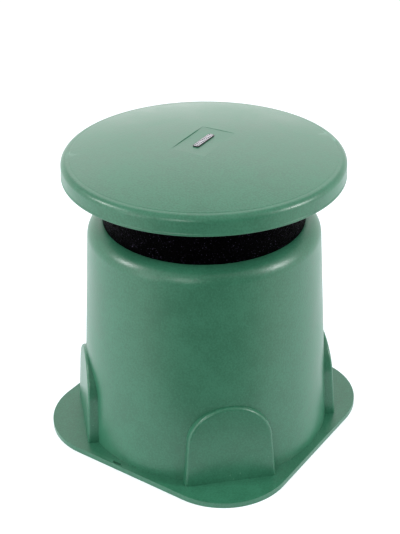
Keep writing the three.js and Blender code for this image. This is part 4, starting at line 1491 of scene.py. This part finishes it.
# %% Gland
gland_low, gland_high = measure("gland_body")
nut_low, nut_high = measure("gland_nut")
THREAD = 10.0
THREAD_PITCH = 1.5
barrel_low = nut_high.z + 0.8
barrel = ladder(THREAD, gland_high.z, barrel_low, THREAD_PITCH)
barrel += [(9, barrel_low - 0.5), (9, gland_low.z), (7.6, gland_low.z), (7.6, 31), (6, 32.5)]
barrel += [(6, gland_high.z)]
cutting = threaded(THREAD, 0.7, THREAD_PITCH, barrel_low - 2, gland_high.z + 1)
gland = turned("gland_barrel", barrel, 56, gland_axis, cutting)
collar = hex_part("collar", "gland_body", nut_high.z + 0.3, COVER_UNDER - 0.1, 14.5, 8.0, gland_axis)
carve(gland, collar, operation="UNION")
dress(gland, "gland_body")


def grip(radius, height, angle):
    """Flutes on the outside of the cap nut."""
    if radius < 11.5:
        return radius
    return radius - 0.45 * max(0.0, math.cos(14 * angle)) ** 2


nut_corners = [
    (9.4, nut_high.z, 0.3),
    (9.4, nut_low.z + 5.7, 0.5),
    (5, nut_low.z + 2.5, 0.6),
    (5, nut_low.z, 0.5),
    (8.5, nut_low.z, 1.2),
    (12, nut_low.z + 4.5, 1.5),
    (12.6, nut_high.z, 0.5),
]
dress(turned("gland_cap", soften(nut_corners, 4), 168, gland_axis, grip), "gland_nut")

seal_low, seal_high = measure("gland_seal")
plug_corners = ring_section(3.5, 7.3, seal_low.z, seal_high.z, 0.8, 0.8, 0.5, 0.5)
dress(turned("gland_plug", soften(plug_corners, 4), 48, gland_axis), "gland_seal")
lock_low, lock_high = measure("gland_locknut")
locknut = hex_part("gland_backnut", "gland_locknut", lock_low.z, lock_high.z, 15.0, 10.3, gland_axis)
dress(locknut, "gland_locknut")

# %% [markdown]
# ## Power selector
#
# A rotary switch hangs from the cover by its threaded bush. Its knob is a fluted skirt with a raised
# bar to turn it by, and a pale line on the bar points at the marks. The line could be painted by a
# pattern in the finish, but then its edges would blur, so it is a thin slab with a finish of its own.

# %% Selector
switch_low, switch_high = measure("selector_switch")
switch_corners = [
    (3.3, switch_low.z, 0.3),
    (4.7, switch_low.z, 0.4),
    (4.7, COVER_TOP + 0.1, 0),
    (14, COVER_TOP + 0.1, 0.6),
    (14, switch_high.z, 1.5),
    (3.3, switch_high.z, 0.4),
]
switch = turned("rotary_switch", soften(switch_corners, 4), 64, selector_axis)
dress(switch, "selector_switch")
bush_low, bush_high = measure("selector_nut")
bush_nut = hex_part("bush_nut", "selector_nut", bush_low.z, bush_high.z, 7.5, 5.0, selector_axis)
dress(bush_nut, "selector_nut")
spindle_low, spindle_high = measure("selector_spindle")
spindle_corners = ring_section(0, 3, spindle_low.z, spindle_high.z, 0, 0.5, 0.5, 0)
spindle = turned("steel_spindle", soften(spindle_corners, 3), 40, selector_axis)
dress(spindle, "selector_spindle")

knob_low, knob_high = measure("selector_knob")


def flutes(radius, height, angle):
    """Grip flutes round the knob's skirt."""
    return radius - 0.4 * max(0.0, math.cos(18 * angle)) ** 3 if radius > 14 else radius


skirt_corners = [
    (0, knob_low.z + 10, 0),
    (12.5, knob_low.z + 10, 0.5),
    (15, knob_low.z + 13.5, 1.0),
    (15, knob_high.z, 0.5),
    (0, knob_high.z, 0),
]
knob = turned("selector_knob_bar", soften(skirt_corners, 4), 216, bend=flutes)
bar = slab("bar", box_outline(8, 27, 3.2, steps=6), knob_low.z, knob_high.z - 1.5, 1.0, 4)
carve(knob, bar, operation="UNION")
carve(knob, slab("bore", round_outline(3.1, 0, 0, 32), spindle_low.z - 0.5, knob_high.z + 1))
dress(placed(knob, (*selector_axis, 0)), "selector_knob")
pointer = slab("knob_pointer", box_outline(1.2, 10, 0.5, 0, 7), knob_low.z - 0.02, knob_low.z + 0.6, 0.1, 2)
dress(placed(pointer, (*selector_axis, 0)), "selector_knob", "ceramic")

# %% [markdown]
# ## Line transformer
#
# Such loudspeakers run on a high-voltage line, so a small transformer feeds the driver. Its core is a
# stack of thin iron sheets. Each sheet could be a box of its own, but one solid whose outline grows
# and shrinks by a hair shows the same edges and stays a single piece. The winding sits on a bobbin
# round the middle leg, and a folded strap, drawn from its side, holds it all down.

# %% Core
core_low, core_high = measure("transformer_core")
core_at = middle("transformer_core")
LAYERS = 20
WINDOW_WIDE = 10.0
WINDOW_TALL = 30.0
LEG = 20.0


def sheet_stack():
    """The stack of sheets lying along y, each group of sheets a hair larger or smaller."""
    wide, tall = core_high.x - core_low.x, core_high.z - core_low.z
    outline = box_outline(wide, tall, 0.6, 0, 0, 2)
    thick = (core_high.y - core_low.y) / LAYERS
    layers = []
    for k in range(LAYERS):
        shape = inset(outline, 0.14 * (k % 2))
        layers.append((shape, thick * k + 0.05))
        layers.append((shape, thick * (k + 1) - 0.05))
    stack = stacked("laminated_core", layers)
    return placed(stack, (core_at.x, core_high.y, core_at.z), QUARTER, "X")


core = sheet_stack()
for side in (-1, 1):
    x = core_at.x + side * (LEG + WINDOW_WIDE) / 2
    window = box_outline(WINDOW_WIDE, 40, 0, x, core_at.y)
    carve(core, slab("window", window, core_at.z - WINDOW_TALL / 2, core_at.z + WINDOW_TALL / 2))
dress(core, "transformer_core")

# %% Winding and strap
wind_low, wind_high = measure("transformer_coil")


def bobbin_plate(less, low, high, edge=0.3, corner=2.0):
    """A plate as large as the winding's ends, with the hole for the middle leg."""
    wide, long = wind_high.x - wind_low.x - 2 * less, wind_high.y - wind_low.y - 2 * less
    plate = slab("plate", box_outline(wide, long, corner, core_at.x, core_at.y, 6), low, high, edge, 3)
    return carve(plate, slab("leg", box_outline(20.6, 30.6, 0.5, core_at.x, core_at.y), low - 1, high + 1))


winding = bobbin_plate(0.8, wind_low.z + 1.25, wind_high.z - 1.25, 0.8, 7.0)
winding.name = "taped_winding"
dress(winding, "transformer_coil")
for i, (low, high) in enumerate(((wind_low.z, wind_low.z + 1.2), (wind_high.z - 1.2, wind_high.z)), 1):
    plate = bobbin_plate(0.0, low, high)
    plate.name = f"bobbin_plate_{i}"
    dress(plate, "transformer_coil", "black_moulding")

strap_low, strap_high = measure("transformer_bracket")
STRAP = 1.5
STRAP_WIDE = 20.0
shoulder_x = core_high.x + 0.1 + STRAP


def strap_outline():
    """The folded strap seen from its side: two feet, two sides and the top."""
    half = [
        (strap_high.x, strap_low.z, 0),
        (strap_high.x, strap_low.z + STRAP, 0),
        (shoulder_x, strap_low.z + STRAP, 0.8),
        (shoulder_x, strap_high.z, 2.0),
    ]
    inner = [(shoulder_x - STRAP, strap_high.z - STRAP, 0.5), (shoulder_x - STRAP, strap_low.z, 2.0)]
    mirrored = [(2 * core_at.x - x, y, radius) for x, y, radius in reversed(half)]
    mirrored_inner = [(2 * core_at.x - x, y, radius) for x, y, radius in reversed(inner)]
    return soften(half + mirrored + mirrored_inner + inner, 4)


strap = stacked("steel_strap", [(strap_outline(), -STRAP_WIDE / 2), (strap_outline(), STRAP_WIDE / 2)])
placed(strap, (0, core_at.y, 0), QUARTER, "X")
carve(strap, drills(strap_places, M4_HOLE, strap_low.z - 1, strap_low.z + STRAP + 1))
dress(strap, "transformer_bracket")

# %% [markdown]
# ## Terminal block
#
# The line is wired into a two-pole block of glazed ceramic. Each pole has a brass sleeve with a screw
# down its well, and one long screw in the middle fixes the block to the cover. The wells could be dark
# dots on a solid block, but they are wide enough to look into, so they are drilled as in the real one.

# %% Terminal block
block_low, block_high = measure("terminal_block")
GROOVE_OFF = 3.6
pole_places = [axis_of(node) for node in numbered("terminal_screw", 2)]
outline = box_outline(block_high.x - block_low.x, block_high.y - block_low.y, 1.5, *block_axis)
ceramic = slab("ceramic_block", outline, block_low.z, block_high.z, 0.7, 3)
carve(ceramic, drills(pole_places, 3.3, block_low.z + 9, block_high.z + 1, 32))
carve(ceramic, drills([block_axis], M4_HOLE, block_low.z - 1, block_high.z + 1))


def wire_way(name, radius, y, half):
    """A cylinder lying along x through a pole."""
    way = slab(name, round_outline(radius, 0, 0, 28), -half, half)
    return placed(way, (block_axis[0], y, block_low.z + 5), QUARTER, "Y")


for _, y in pole_places:
    carve(ceramic, wire_way("way", 2.0, y, 12))
for side in (-1, 1):
    groove = box_outline(30, 1.2, 0, block_axis[0], block_axis[1] + side * GROOVE_OFF)
    carve(ceramic, slab("groove", groove, block_high.z - 1.2, block_high.z + 1))
dress(ceramic, "terminal_block")

for i, (x, y) in enumerate(pole_places, 1):
    sleeve = carve(wire_way(f"pole_sleeve_{i}", 1.9, y, 7), wire_way("bore", 1.35, y, 8))
    dress(sleeve, "terminal_block", "brass")
    low, high = measure(f"terminal_screw_{i}")
    tip = [(0, low.z, 0), (2.3, low.z, 0.4), (2.3, low.z + 2.5, 0)]
    corners = tip + [(2.9, low.z + 2.6, 0.3), (2.9, high.z, 0.5), (0, high.z, 0)]
    grub = turned(f"pole_screw_{i}", soften(corners, 3), 40, (x, y))
    carve(grub, slab("slot", box_outline(7, 0.9, 0, x, y), high.z - 1.2, high.z + 1))
    dress(grub, f"terminal_screw_{i}")

fit_screws("fixing_screw", ["block_screw"], 2.0, 10, 3.9, 2.5, True)
